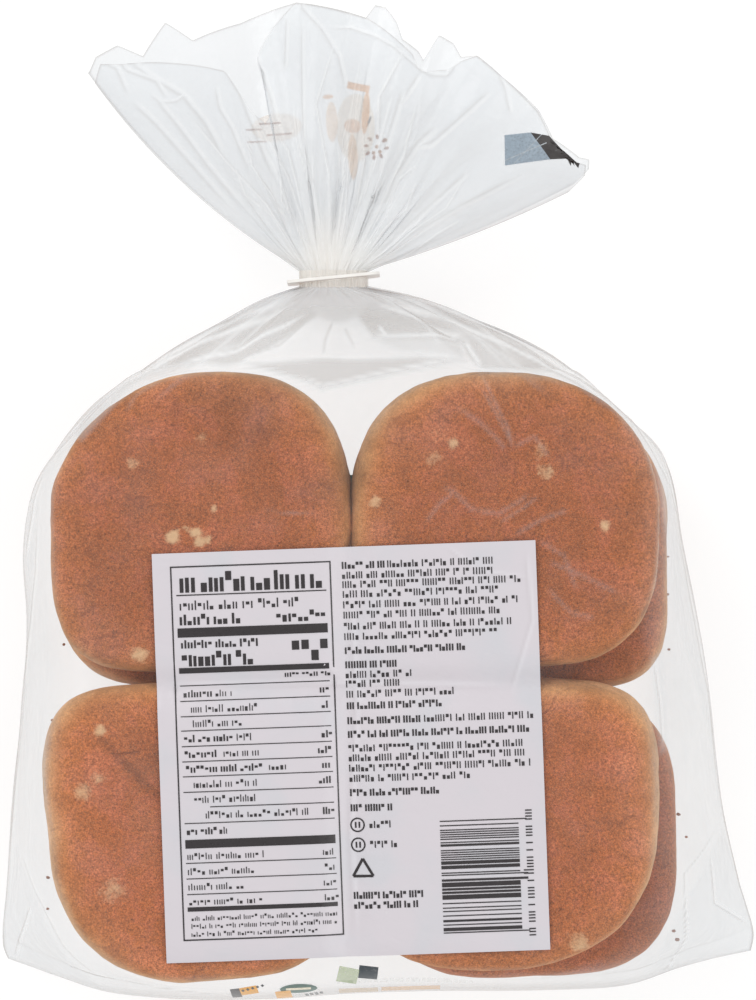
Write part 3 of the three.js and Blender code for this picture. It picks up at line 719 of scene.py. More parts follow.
def film_material():
    """Clear film: nearly nothing face on, and milky where it is seen edge on, folded or gathered."""
    material, tree, shader = new_material("clear_film")
    painted_shade = add(tree, "ShaderNodeAttribute", {"attribute_name": "painted_shade"}).outputs["Fac"]
    painted_highlight = add(tree, "ShaderNodeAttribute", {"attribute_name": "painted_highlight"}).outputs["Fac"]
    haze = add(tree, "ShaderNodeAttribute", {"attribute_name": "haze"}).outputs["Fac"]
    ripple = add(tree, "ShaderNodeGroup", {"node_tree": film_ripple})
    ripple.inputs["Size"].default_value = 1.0
    facing = add(tree, "ShaderNodeLayerWeight", Blend=0.35).outputs["Facing"]
    edge_on = calc(tree, "POWER", facing, 2.5)
    alpha = calc(tree, "ADD", haze, calc(tree, "MULTIPLY", edge_on, 0.42))
    alpha = calc(tree, "ADD", alpha, calc(tree, "MULTIPLY", painted_shade, 0.34))
    alpha = calc(tree, "ADD", alpha, calc(tree, "MULTIPLY", painted_highlight, 0.10))
    alpha = calc(tree, "ADD", alpha, calc(tree, "MULTIPLY", ripple.outputs["Cloud"], 0.03))
    alpha = calc(tree, "MINIMUM", alpha, 0.9)
    tree.links.new(alpha, shader.inputs["Alpha"])
    # One layer looks faintly blue, two look white, and the gathered layers at the neck look like warm wax.
    milky = blend_colours(tree, "MIX", band(tree, haze, 0.1, 0.4), paint(206, 216, 223), paint(214, 218, 222))
    milky = blend_colours(tree, "MIX", band(tree, haze, 0.44, 0.62), milky, paint(238, 234, 227))
    # Painted shade from creases, folds and gathered film, and a darker grey where the film is seen edge on,
    # turn the colour towards a warm grey; painted highlights beside the creases turn it white.
    shade = calc(tree, "SUBTRACT", calc(tree, "ADD", calc(tree, "MULTIPLY", painted_shade, 0.85),
                                        calc(tree, "MULTIPLY", edge_on, 0.5)),
                 calc(tree, "MULTIPLY", painted_highlight, 0.6), clamp=True)
    shade = calc(tree, "MULTIPLY", shade, spread(tree, haze, 0.34, 0.56, 1.0, 0.25))
    colour = blend_colours(tree, "MIX", shade, milky, paint(146, 131, 116))
    colour = blend_colours(tree, "MIX", painted_highlight, colour, paint(244, 244, 243))
    tree.links.new(colour, shader.inputs["Base Color"])
    shader.inputs["Roughness"].default_value = 0.2
    bump = add(tree, "ShaderNodeBump", Height=ripple.outputs["Height"], Strength=0.5, Distance=0.0012)
    tree.links.new(bump.outputs["Normal"], shader.inputs["Normal"])
    return material


film = film_material()


def body_detail(side):
    """The body's folds: pleats by the neck, slack at the sides and, on the upper sheet, the folds listed,
    with their painted shade and highlights.
    """
    def detail(s, t, base):
        x, y = base[..., 0], base[..., 1]
        calm_edge = np.sqrt(np.clip(1 - s * s, 0, 1))
        drawn = smooth(28, 54, y) * mix(0.25, 1, smooth(0.15, 0.5, np.abs(s)))
        lift = 1.1 * drawn * calm_edge * pleats(s, 4 + side, (5, 9, 14))
        lift = mix(lift, neck_pleats(s, side), smooth(57, NECK_START_Y, y))
        flat = base.reshape(-1, 3)
        soft = noise_at(flat * [1.6, 0.7, 1], 26, 3 + side) * 0.7
        soft += noise_at(flat * [1, 0.6, 1], 10, 5 + side) * 0.2
        loose = smooth(0.5, 0.75, np.abs(s)) * smooth(0, 0.03, 1 - np.abs(s))
        lift = lift + soft.reshape(s.shape) * mix(0.12, 1.0, loose) * smooth(0, 0.04, t)
        height, painted_shade, painted_highlight = (0 * x for _ in range(3))
        for seed, directions in ((7, (196, 226, 206)), (9, (312, 344, 332))):
            fan = fans_of_creases(seed + side, 8, (NECK[0], 76), directions, (16, 24), (40, 84), (0.8, 1.2))
            marks = crease_marks(x, y, fan)
            height, painted_shade, painted_highlight = (np.maximum(a, b * 0.3) for a, b in zip((height, painted_shade, painted_highlight), marks))
        if side > 0:
            marks = crease_marks(x, y, BODY_FOLDS)
            tight = mix(1, 0.5, smooth(0.62, 0.5, np.abs(s)) * smooth(44, 36, y))
            height, painted_shade = np.maximum(height, marks[0] * 0.4), mix(painted_shade, 0.75, marks[1] * tight)
            painted_highlight = mix(painted_highlight, 0.7, marks[2] * tight)
            # Gathered film gets a painted warm shade as well as its haze.
            for thick, corners in GATHERED_FILM:
                painted_shade = np.maximum(painted_shade, 0.8 * thick * inside_flap(x, y, corners))
        # Painted shade along the sheet's folded edges and along the bottom fold.
        hem = smooth(0, 0.03, t) * smooth(0, 0.02, 1 - np.abs(s))
        at_edge = smooth(0.955, 0.99, np.abs(s)) * smooth(62, 54, y) * 0.75
        at_end = smooth(0.012, 0, t) * 0.35
        painted_shade *= mix(0.85, 0.45, smooth(55, 64, y)) * hem
        return lift + height * hem, np.maximum(painted_shade, np.maximum(at_edge, at_end)), painted_highlight * hem
    return detail


def body_haze(side):
    """How milky the body's film is: clear on the buns, and more so where it is gathered or doubled."""
    def haze(s, t, base):
        x, y = base[..., 0], base[..., 1]
        gathered = 0.05 * smooth(30, 48, y) + 0.26 * smooth(50, 66, y)
        off_buns = smooth(0.56, 0.75, np.abs(s))
        if side > 0:
            for thick, corners in GATHERED_FILM:
                gathered = np.maximum(gathered, 0.20 * thick * inside_flap(x, y, corners))
            for corners in DOUBLED_FILM:
                gathered = np.maximum(gathered, 0.14 * inside_flap(x, y, corners))
        return 0.04 + 0.08 * off_buns + gathered
    return haze


film_over = sheet_of_film("film_over_heels", 420, 236, 1, lambda s, t: body_sheet(s, t, 1), body_detail(1),
                          body_haze(1), over=surface_of(*buns[:4]))
film_under = sheet_of_film("film_under_crowns", 220, 200, -1, lambda s, t: body_sheet(s, t, -1),
                           body_detail(-1), body_haze(-1))
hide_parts("bag_of_buns")

# ---------------------------------------------------------------- the neck and the ruff
# At the neck the film is gathered tight. Past the clip the same two sheets fan out again: near the neck the
# pleats lie folded over each other, and they open out to the bag's mouth, where each sheet has its own lip.

APEX_Y = 61.0  # where the pleats would meet
MIDDLE_DEG, HALF_SPREAD_DEG = 81.5, 55.5  # the ruff's direction from there, and how far it fans to each side
RUFF_RISE = 19.0  # how far each sheet bulges from the ruff's middle at the mouth
BOW_LEFT, BOW_RIGHT = 4.5, 1.5  # how far the ruff's sides bow out
NECK_HAZE = 0.62
# The lip of each sheet: direction from the apex in degrees, and reach.
LIPS = {
    1: [(26, 82), (27.4, 88.8), (29.1, 90.6), (30.4, 88.3), (37, 85.1), (43.4, 87.6), (53.2, 88),
        (59.9, 89.3), (62.1, 85.7), (63.7, 81.4), (68.4, 77.5), (70.4, 77.8), (72.5, 81.4), (76.6, 84.3),
        (83.2, 89.4), (93.1, 93), (97.2, 94.5), (102, 88.5), (105.4, 83.4), (107.1, 80.2), (108.4, 62),
        (110.6, 60), (113.2, 65.3), (114.9, 80), (123.1, 90), (131.5, 100.8), (134.1, 105.5), (137, 103)],
    -1: [(26, 82), (27.4, 88.8), (29.1, 90.6), (30.4, 88.3), (37, 85.1), (43.4, 87.6), (53.2, 88),
         (59.9, 89.3), (62.7, 86.6), (65.4, 89.5), (68.6, 90.1), (69.8, 81), (71.5, 83.1), (75.5, 85.3),
         (77.5, 90.3), (80.1, 94.2), (82.1, 94.4), (83.6, 90), (93.1, 93), (97.2, 94.5), (108.3, 92.2),
         (118.2, 92.7), (120.9, 101.7), (127.7, 96.6), (130, 104.1), (134.1, 105.5), (137, 103)],
}
LIP_SCALE = {1: 0.987, -1: 1.012}  # the lower lip is spread a little wider than the upper one
# The ruff's folds, given as the body's are.
RUFF_FOLDS = [
    (1.6, 0.8, [(-28.1, 152.5), (-35.8, 141.1), (-37.4, 137.3), (-37, 133.9), (-33.3, 124), (-29.3, 108.5)]),
    (1.6, 0.9, [(-48.2, 134.5), (-46.3, 131.1), (-42.6, 124.9), (-37.7, 113.2), (-31, 97)]),
    (1.4, 0.8, [(-24.6, 154.4), (-23.1, 150.7), (-17.2, 144.2), (-12.2, 135.8), (-9.5, 122)]),
    (1.0, 0.6, [(-23.4, 149.4), (-23.4, 124), (-23, 108)]),
    (0.8, 0.6, [(-28.1, 148.8), (-28.7, 131.8)]),
    (1.0, 0.6, [(-16.6, 144.5), (-8.5, 144.8), (-0.8, 142), (4.5, 138.9), (10.7, 133.9), (14.4, 130.2)]),
    (1.4, 1.2, [(-79.2, 137), (-70.5, 130.2), (-60.6, 124.6), (-53.5, 116.2), (-46, 103)]),
    (1.2, 0.9, [(-87, 136.4), (-81.1, 133.3), (-77.3, 124.6)]),
    (1.0, 0.8, [(-80.4, 135.8), (-78, 132.7), (-69, 129), (-64.9, 122.8)]),
    (0.8, 0.6, [(-71.1, 125.5), (-67.4, 122.5), (-62.5, 122.8), (-58.1, 125.5)]),
    (1.2, 0.9, [(-70.5, 125.5), (-62.8, 116.2), (-53.5, 103.8), (-40, 88)]),
    (1.0, 0.8, [(-50.1, 128.3), (-48.8, 120.9), (-45.1, 114.7), (-39, 100)]),
    (1.2, 1.0, [(-77.3, 124), (-69, 116.2), (-58.1, 103.8), (-42, 86)]),
    (1.2, 0.8, [(11, 134.5), (13.2, 131.4), (16.9, 130.2), (21.5, 130.2), (25.6, 135.8)]),
    (1.2, 0.8, [(36.7, 130.8), (38.9, 126.5), (40.8, 117.8)]),
    (1.0, 0.7, [(32.1, 137.9), (38.6, 130.8), (47.3, 123.4)]),
    (1.2, 0.9, [(7.9, 127.1), (4.5, 116.2), (-1, 98)]),
    (1.2, 1.0, [(18.8, 115.6), (12.6, 110), (5.4, 99.8), (0.5, 86)]),
    (0.8, 0.9, [(34.9, 126.5), (28.7, 120.9), (16.3, 110), (10.7, 108.5)]),
    (1.0, 0.8, [(28.7, 102.3), (16.3, 91.5), (2, 79)]),
    (1.0, 0.8, [(47.3, 102.3), (25.6, 91.5), (10.1, 82.2), (-1.7, 73)]),
    (1.0, 0.8, [(13.2, 131.8), (8.2, 124), (5.4, 120.9)]),
]


def neck_sheet(s, t, side):
    """The gathered film that runs through the clip."""
    x, z = neck_oval(s, side, np.full_like(s, NECK_START_Y))
    return x, mix(NECK_START_Y, NECK_END_Y, t), z


def neck_detail(side):
    """The neck's pleats, which carry on those of the body."""
    def detail(s, t, base):
        return neck_pleats(s, side), 0 * s, 0 * s
    return detail


for name, side in (("neck_upper_sheet", 1), ("neck_lower_sheet", -1)):
    sheet_of_film(name, 160, 8, side, lambda s, t: neck_sheet(s, t, side), neck_detail(side),
                  lambda s, t, base: np.full_like(s, NECK_HAZE))


def ruff_sheet(s, t, side):
    """A sheet of the ruff, from the neck at t = 0 to the lip at t = 1; s runs from left to right."""
    neck_x, neck_z = neck_oval(s, side, np.full_like(s, NECK_START_Y))
    calm_edge = np.clip(1 - s ** 2, 0, 1)
    lapped = s + 0.05 * calm_edge * smooth(0.75, 0.1, t) * pleats(s, 11 + side, (8, 13, 21))
    reach = np.interp(MIDDLE_DEG - s * HALF_SPREAD_DEG, *np.array(LIPS[side]).T)
    angle = np.radians(MIDDLE_DEG - lapped * HALF_SPREAD_DEG)
    lip_x, lip_y = NECK[0] + reach * np.cos(angle), APEX_Y + reach * np.sin(angle)
    lip_x, lip_y = lip_x * LIP_SCALE[side], lip_y * LIP_SCALE[side]
    bow = s * np.where(s < 0, BOW_LEFT, BOW_RIGHT) * 4 * t * (1 - t)
    x = mix(neck_x, lip_x, t) + bow * np.sin(angle)
    y = mix(NECK_END_Y, lip_y, t) - bow * np.cos(angle)
    rise = side * RUFF_RISE * np.sqrt(calm_edge) * smooth(-0.1, 1, t)
    return x, y, mix(neck_z, NECK[2], np.minimum(1, t * 3)) + rise


def ruff_detail(side):
    """The ruff's pleats, from broad ones at the mouth to fine ones by the neck, its folds, and painted
    streaks of shade and highlight.
    """
    def detail(s, t, base):
        x, y = base[..., 0], base[..., 1]
        calm_edge = np.clip(1 - s * s, 0, 1)
        broad = 2.2 * smooth(0, 0.7, t) * pleats(s, 21 + side, (3, 5, 8))
        middle = 0.6 * smooth(0, 0.3, t) * smooth(1.0, 0.3, t) * pleats(s, 25 + side, (11, 17))
        fine = 0.22 * smooth(0, 0.2, t) * smooth(0.6, 0.1, t) * pleats(s, 31 + side, (27, 41))
        soft = noise_at(base.reshape(-1, 3), 18, 8 + side).reshape(s.shape) * 1.6 * smooth(0.2, 0.9, t)
        lift = (broad + middle + fine + soft) * calm_edge
        lift = mix(neck_pleats(s, side), lift, smooth(0, 0.12, t))
        fan = fans_of_creases(60 + side, 24, (NECK[0], APEX_Y), (28, 136, 88), (11, 30), (40, 84),
                              (0.3, 0.55))
        height, painted_shade, painted_highlight = (mark * 0.6 for mark in crease_marks(x, y, fan))
        # Painted streaks of shade and highlight along the pleats, and painted shade along the lip and the
        # sides.
        streaks = 0.5 + 0.5 * pleats(s + 0.03 * np.sin(9 * t + 4 * s), 51 + side, (9, 17, 29))
        painted_shade = np.maximum(painted_shade, 0.22 * streaks * smooth(0.9, 0.15, t))
        painted_highlight = np.maximum(painted_highlight, 0.35 * (1 - streaks) * smooth(0.8, 0.1, t))
        if side > 0:
            marks = crease_marks(x, y, RUFF_FOLDS)
            height, painted_shade = np.maximum(height, marks[0] * 0.25), mix(painted_shade, 0.7, marks[1])
            painted_highlight = mix(painted_highlight, 0.5, marks[2])
        hem = np.maximum(smooth(0.992, 0.998, t), smooth(0.988, 1.0, np.abs(s)) * smooth(0.1, 0.2, t) * 0.6)
        return lift + height * calm_edge * smooth(0, 0.1, t), np.maximum(painted_shade * 0.6, hem * 0.7), painted_highlight
    return detail


def ruff_haze(s, t, base):
    """How milky the ruff is: most by the neck, where its pleats lie close, and along its middle."""
    middle = np.exp(-((s + 0.12) / 0.42) ** 2)
    return 0.36 + 0.06 * middle * smooth(1.0, 0.3, t) + 0.16 * smooth(0.4, 0, t)


ruffs = {
    side: sheet_of_film(name, 380, 200, side, lambda s, t, side=side: ruff_sheet(s, t, side),
                        ruff_detail(side), ruff_haze)
    for name, side in (("ruff_upper_sheet", 1), ("ruff_lower_sheet", -1))
}

# ---------------------------------------------------------------- the clip
# A flat plate of thin moulded plastic. It is pushed on to the gathered neck through the slot in its edge,
# and stands upright across it. Its solid has the clip's own shape, so that is kept.


def clip_material():
    """White plastic with a faint cloud in its colour and gloss."""
    material, tree, shader = new_material("clip_plastic")
    place = add(tree, "ShaderNodeTexCoord").outputs["Object"]
    cloud = add(tree, "ShaderNodeTexNoise", Vector=place, Scale=300.0, Detail=3.0).outputs["Fac"]
    colour = blend_colours(tree, "MIX", cloud, paint(246, 245, 241), paint(234, 231, 226))
    tree.links.new(colour, shader.inputs["Base Color"])
    tree.links.new(calc(tree, "ADD", 0.3, calc(tree, "MULTIPLY", cloud, 0.2)), shader.inputs["Roughness"])
    bump = add(tree, "ShaderNodeBump", Height=cloud, Strength=0.15, Distance=0.0004)
    tree.links.new(bump.outputs["Normal"], shader.inputs["Normal"])
    return material


moulded = clip_material()
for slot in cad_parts["neck_clip"].material_slots:
    slot.material = moulded

# ---------------------------------------------------------------- the print on the film
# Ink printed on the film: a white panel over the heels, filled with rows of small plain strokes, rules and
# bars, fields of colour on the front of the pack, slivers of them that come round over its bottom end, and
# faint marks in the ruff.

LABEL_CORNER, LABEL_TURN = (-68.2, -16.3), math.radians(2.09)  # the panel's top left corner
LABEL_WIDTH, LABEL_LENGTH = 115.7, 123.5
LABEL_LIFT, INK_LIFT, LAYER_LIFT = 0.14, 0.27, 0.07  # off the film, and one layer of ink off the next
FRAME_LINE = (5.35, 4.0, 53.8, 116.9)  # left, top, right and bottom of the box round the left block
FRAME_WEIGHT, RULE_WEIGHT, FRAME_MARGIN = 0.42, 0.28, 1.6


def lay_on(tree, points, away, lift):
    """Moves the points, in millimetres, on to the first surface below them. away is the way up from it."""
    up = Vector(away)
    laid = []
    for start in put(points):
        spot = tree.ray_cast(Vector(start) + up * 0.2, -up)[0]
        if spot is None:  # past the film's edge
            spot = tree.find_nearest(Vector(start))[0]
        laid.append(np.array(spot + up * lift * MM) / MM - ZERO)
    return np.array(laid)


def on_label(u, v):
    """From the panel's own measure, u to the right and v down, to X and Y."""
    cos, sin = math.cos(LABEL_TURN), math.sin(LABEL_TURN)
    return LABEL_CORNER[0] + u * cos + v * sin, LABEL_CORNER[1] + u * sin - v * cos


def label_material():
    """White ink on the film, with painted shade and painted highlights where the film is creased."""
    material, tree, shader = new_material("white_print")
    ripple = add(tree, "ShaderNodeGroup", {"node_tree": film_ripple})
    ripple.inputs["Size"].default_value = 1.0
    colour = blend_colours(tree, "MIX", ripple.outputs["Cloud"], paint(209, 203, 208), paint(203, 202, 207))
    painted_shade = add(tree, "ShaderNodeAttribute", {"attribute_name": "painted_shade"}).outputs["Fac"]
    painted_highlight = add(tree, "ShaderNodeAttribute", {"attribute_name": "painted_highlight"}).outputs["Fac"]
    colour = blend_colours(tree, "MIX", calc(tree, "MULTIPLY", painted_shade, 0.2), colour, paint(180, 173, 176))
    colour = blend_colours(tree, "MIX", calc(tree, "MULTIPLY", painted_highlight, 0.22), colour, paint(240, 239, 243))
    tree.links.new(colour, shader.inputs["Base Color"])
    shader.inputs["Roughness"].default_value = 0.32
    bump = add(tree, "ShaderNodeBump", Height=ripple.outputs["Height"], Strength=0.35, Distance=0.0010)
    tree.links.new(bump.outputs["Normal"], shader.inputs["Normal"])
    return material


def ink_material():
    """Ink of any colour: the mesh's own ink colour, a little worn where the film has rubbed."""
    material, tree, shader = new_material("printed_ink")
    colour = add(tree, "ShaderNodeAttribute", {"attribute_name": "ink"}).outputs["Color"]
    cover = add(tree, "ShaderNodeAttribute", {"attribute_name": "cover"}).outputs["Fac"]
    place = add(tree, "ShaderNodeTexCoord").outputs["Object"]
    worn = add(tree, "ShaderNodeTexNoise", Vector=place, Scale=1400.0, Detail=2.0).outputs["Fac"]
    ripple = add(tree, "ShaderNodeGroup", {"node_tree": film_ripple})
    ripple.inputs["Size"].default_value = 1.0
    colour = blend_colours(tree, "MULTIPLY", 1.0, colour, spread(tree, worn, 0.3, 0.7, 1.15, 0.85))
    tree.links.new(colour, shader.inputs["Base Color"])
    flaked = spread(tree, worn, 0.62, 0.72, 1.0, 0.8)
    tree.links.new(calc(tree, "MULTIPLY", cover, flaked), shader.inputs["Alpha"])
    shader.inputs["Roughness"].default_value = 0.3
    bump = add(tree, "ShaderNodeBump", Height=ripple.outputs["Height"], Strength=0.35, Distance=0.0010)
    tree.links.new(bump.outputs["Normal"], shader.inputs["Normal"])
    return material


ink = ink_material()
film_over_surface = surface_of(film_over)

label_bm = bmesh.new()
bmesh.ops.create_grid(label_bm, x_segments=150, y_segments=160, size=0.5)
label_flat = np.array([v.co[:2] for v in label_bm.verts])
label_x, label_y = on_label((label_flat[:, 0] + 0.5) * LABEL_WIDTH, (0.5 - label_flat[:, 1]) * LABEL_LENGTH)
# Creases across the panel, with no rise: only their painted shade and highlights.
label_folds = [
    (0.0, 0.9, [(44, -14), (46, -36), (39, -60)]), (0.0, 0.8, [(20, -14), (30, -22), (46, -24)]),
    (0.0, 1.2, [(-10, -20), (-7, -60), (-9, -100), (-7, -136)]),
    (0.0, 1.2, [(-66, -57), (-20, -56), (44, -57)]),
]
_, label_painted_shade, label_painted_highlight = crease_marks(label_x, label_y, label_folds)
label_spots = np.column_stack([label_x, label_y, 0 * label_x])
label_points = lay_on(film_over_surface, label_spots, (0, 0, 1), LABEL_LIFT)
finish_mesh("white_print_panel", label_bm, label_points, {"painted_shade": label_painted_shade, "painted_highlight": label_painted_highlight},
            label_material())


class Print:
    """Collects patches of ink, each a small grid, and lays them all on a surface."""

    def __init__(self):
        self.bm = bmesh.new()
        self.places, self.inks, self.covers, self.layers = [], [], [], []

    def patch(self, place, width, length, colour, cover=1.0, fine=4.0, disc=False, layer=0):
        """place turns a patch's own x and y, from 0 to width and length, into X and Y on the pack.

        fine is the largest face's size, and layer says which patches lie over which.
        """
        across, along = (max(1, math.ceil(side / fine)) for side in (width, length))
        made = bmesh.ops.create_grid(self.bm, x_segments=across, y_segments=along, size=1)["verts"]
        for vert in made:
            a, b = vert.co[:2]
            if disc:
                a, b = a * math.sqrt(1 - b * b / 2), b * math.sqrt(1 - a * a / 2)
            self.places.append(place((a + 1) / 2 * width, (1 - b) / 2 * length))
            self.inks.append(paint(*colour))
            self.covers.append(cover)
            self.layers.append(layer)

    def lay(self, name, tree, away, lift, near_z=0.0):
        """Lays the patches on the tree's surface, on the side that away points to, and makes the piece."""
        spots = np.array([(*spot, near_z) for spot in self.places])
        points = lay_on(tree, spots, away, lift) + np.outer(self.layers, away) * LAYER_LIFT
        inks, covers = np.array(self.inks, dtype=np.float32), np.array(self.covers)
        if Vector(away).z < 0:
            bmesh.ops.reverse_faces(self.bm, faces=self.bm.faces[:])
        piece = finish_mesh(name, self.bm, points, {"cover": covers}, ink)
        piece.data.attributes.new("ink", "FLOAT_COLOR", "POINT").data.foreach_set("color", inks.ravel())
        return piece


INK_BLACK = (44, 39, 41)
UPRIGHTS, LOW_BLOCKS = 0.62, 0.2  # the share of each kind of stroke; the rest are high blocks
TALL_SHARE = 0.3
label_print = Print()
dice = random.Random(57)


def bar(u0, v0, u1, v1):
    """A plain dark bar, between two corners in the panel's own measure."""
    label_print.patch(lambda a, b: on_label(u0 + a, v0 + b), u1 - u0, v1 - v0, INK_BLACK)


def strokes(u0, u1, top, base, weight, spacing, tall_all=False):
    """One row of small uprights, low blocks and high blocks, in uneven groups."""
    u, group = u0, dice.randint(3, 9)
    while u + weight <= u1:
        tall = tall_all or dice.random() < TALL_SHARE
        height = (base - top) * (dice.uniform(0.93, 1.0) if tall else dice.uniform(0.66, 0.74))
        kind = dice.random()
        width = weight if kind < UPRIGHTS else weight + spacing * 0.9
        if kind < UPRIGHTS:
            bar(u, base - height, u + width, base)
        elif kind < UPRIGHTS + LOW_BLOCKS:
            bar(u, base - height * dice.choice((0.5, 0.62)), u + width, base)
        else:
            bar(u, base - height, u + width, base - height * 0.55)
        u += width + spacing * dice.uniform(0.6, 0.9)
        group -= 1
        if group == 0:
            u, group = u + spacing * 1.5, dice.randint(2, 9)


# Places across the left block are given as readings: a reading's size, how far its zero lies off the panel's
# edge, how much the block leans, and how far it is shifted inwards.
READING_SIZE, READING_ZERO, BLOCK_LEAN, BLOCK_SHIFT = 0.08257, -0.30, 0.0364, 1.2


def row_u(reading, v):
    """The panel's u for a reading across the left block, whose rows start further left as they go down."""
    return READING_SIZE * reading + READING_ZERO - BLOCK_LEAN * v


left, top, right, bottom = FRAME_LINE
row_left, row_right = left + FRAME_MARGIN, right - FRAME_MARGIN
for edge in ((left, top, right, top + FRAME_WEIGHT), (left, bottom - FRAME_WEIGHT, right, bottom),
             (left, top, left + FRAME_WEIGHT, bottom), (right - FRAME_WEIGHT, top, right, bottom)):
    bar(*edge)
# The left block. Rules and bars: their height on the panel and how thick they are.
for v, thick in ((12.6, 0.35), (22.7, 2.8), (34.7, 1.7), (86.5, 2.6), (106.8, 1.3)):
    bar(row_left, v, row_right, v + thick)
for v in (40.0, 44.6, 49.2, 53.5, 58.2, 62.8, 67.3, 72.0, 76.6, 81.4, 93.4, 98.1, 102.8):
    bar(left + (9.5 if v == 76.6 else FRAME_MARGIN), v, row_right, v + RULE_WEIGHT)
# Rows: top, base, stroke's weight, spacing, then each stretch across as readings.
LEFT_ROWS = [
    (5.9, 12.0, 1.15, 0.75, (92, 430), (437, 640)), (14.4, 17.3, 0.42, 0.72, (92, 545)),
    (18.4, 21.8, 0.72, 0.62, (92, 315), (445, 645)), (26.3, 28.8, 0.56, 0.52, (97, 387)),
    (29.6, 34.3, 0.95, 0.70, (100, 352)), (27.2, 33.7, 1.5, 0.80, (503, 648)),
    (36.7, 38.5, 0.42, 0.46, (475, 650)), (41.4, 43.6, 0.5, 0.5, (105, 210), (603, 653)),
    (41.6, 43.6, 0.3, 0.6, (222, 288)), (46.0, 48.2, 0.3, 0.6, (133, 380)),
    (46.0, 48.2, 0.5, 0.5, (610, 655)),
    (50.4, 52.6, 0.3, 0.6, (140, 315)), (54.9, 57.1, 0.5, 0.5, (108, 290), (610, 655)),
    (54.9, 57.1, 0.3, 0.6, (300, 355)), (59.6, 61.8, 0.5, 0.5, (110, 240), (597, 662)),
    (59.6, 61.8, 0.3, 0.6, (252, 380)), (64.1, 66.3, 0.5, 0.5, (115, 405), (612, 662)),
    (64.1, 66.3, 0.3, 0.6, (418, 480)), (68.7, 70.9, 0.3, 0.6, (143, 380)),
    (68.7, 70.9, 0.5, 0.5, (600, 662)), (73.3, 75.5, 0.3, 0.6, (145, 380)),
    (78.0, 80.2, 0.3, 0.6, (187, 567)), (78.0, 80.2, 0.5, 0.5, (615, 668)),
    (82.8, 85.0, 0.5, 0.5, (118, 225)), (82.8, 85.0, 0.3, 0.6, (237, 280)),
    (90.4, 92.5, 0.3, 0.6, (120, 400), (615, 668)), (95.0, 97.1, 0.3, 0.6, (122, 370), (622, 670)),
    (99.6, 101.7, 0.3, 0.6, (124, 322), (618, 670)), (104.2, 106.2, 0.3, 0.6, (127, 395), (622, 672)),
    (109.4, 110.9, 0.24, 0.45, (135, 680)), (111.8, 113.3, 0.24, 0.45, (135, 672)),
    (114.2, 115.7, 0.24, 0.45, (135, 600)),
]
for row_top, base, weight, spacing, *stretches in LEFT_ROWS:
    for x0, x1 in stretches:
        start, end = row_u(x0, base) + BLOCK_SHIFT, row_u(x1, base) + BLOCK_SHIFT
        strokes(max(start, row_left), min(end, row_right), row_top, base, weight, spacing)
# The right block: base of each row, its length, and how much of its start is heavy.
RIGHT_ROWS = [
    (6.6, 46.1, 0.28), (9.6, 45.3, 0), (12.4, 53.1, 0), (15.3, 47.3, 0), (18.5, 52.7, 0), (21.6, 46.9, 0),
    (25.0, 51.8, 0), (28.1, 47.3, 0), (32.3, 36, 1), (36.6, 15.5, 1), (39.6, 21, 0), (42.4, 17, 0),
    (45.5, 32.5, 0), (49.0, 29, 1), (53.5, 55.8, 0.4), (57.6, 54.7, 1), (61.8, 54, 0), (64.7, 53, 0),
    (67.8, 54.8, 0), (70.9, 36.6, 0), (75.2, 27.5, 1), (79.8, 13, 1), (106.2, 21.5, 1), (109.2, 19.6, 1),
]
RIGHT_START, ROW_HEIGHT = 57.1, 2.15
HEAVY_STROKE, LIGHT_STROKE = (0.52, 0.42), (0.36, 0.58)  # weight and spacing
for base, length, heavy in RIGHT_ROWS:
    row_top, end = base - ROW_HEIGHT, RIGHT_START + length
    split = RIGHT_START + length * heavy
    if heavy:
        strokes(RIGHT_START, split, row_top, base, *HEAVY_STROKE, tall_all=True)
    if heavy < 1:
        strokes(split + (0.8 if heavy else 0), end, row_top, base, *LIGHT_STROKE, tall_all=True)
for base in (84.9, 90.9):
    strokes(62.6, 70.5, base - ROW_HEIGHT, base, *LIGHT_STROKE, tall_all=True)
# Plain signs: two rings and a triangle, each drawn as short bars end to end.


def outline(u, v, radius, sides, thick, turn=0.0):
    """Draws a ring or a triangle round a point on the panel."""
    for i in range(sides):
        a0, a1 = (turn + 2 * math.pi * (i + k) / sides for k in (0, 1))
        start, end = (np.array([u + radius * math.cos(a), v + radius * math.sin(a)]) for a in (a0, a1))
        run, length = (end - start) / np.linalg.norm(end - start), float(np.linalg.norm(end - start))
        side = np.array([-run[1], run[0]])

        def place(a, b):
            return on_label(*(start + run * a + side * (b - thick / 2)))

        label_print.patch(place, length, thick, INK_BLACK)


for v in (83.9, 89.9):
    outline(59.0, v, 2.0, 20, 0.45)
    bar(58.2, v - 0.9, 58.7, v + 0.9)
    bar(59.3, v - 0.9, 59.8, v + 0.9)
outline(60.2, 97.6, 3.5, 3, 0.8, math.radians(30))
# The striped block: a run of bars of mixed thickness, with a column of small dashes beside it.
v = 83.5
while v < 117.2:
    thick = dice.choice((0.34, 0.34, 0.68, 0.68, 1.02, 1.36))
    long_bar = v < 84.5 or v > 116 or abs(v - 100.7) < 1
    bar(83.8, v, 109.9 if long_bar else 107.5, min(v + thick, 118))
    v += thick + dice.choice((0.34, 0.34, 0.68, 1.02))
v = 81.0
while v < 120:
    bar(109.6 if abs(v - 100.5) > 1.5 else 108.6, v, 111.6, v + 0.4)
    v += dice.choice((0.9, 0.9, 1.0, 2.2))
label_print.lay("print_on_panel", film_over_surface, (0, 0, 1), INK_LIFT)

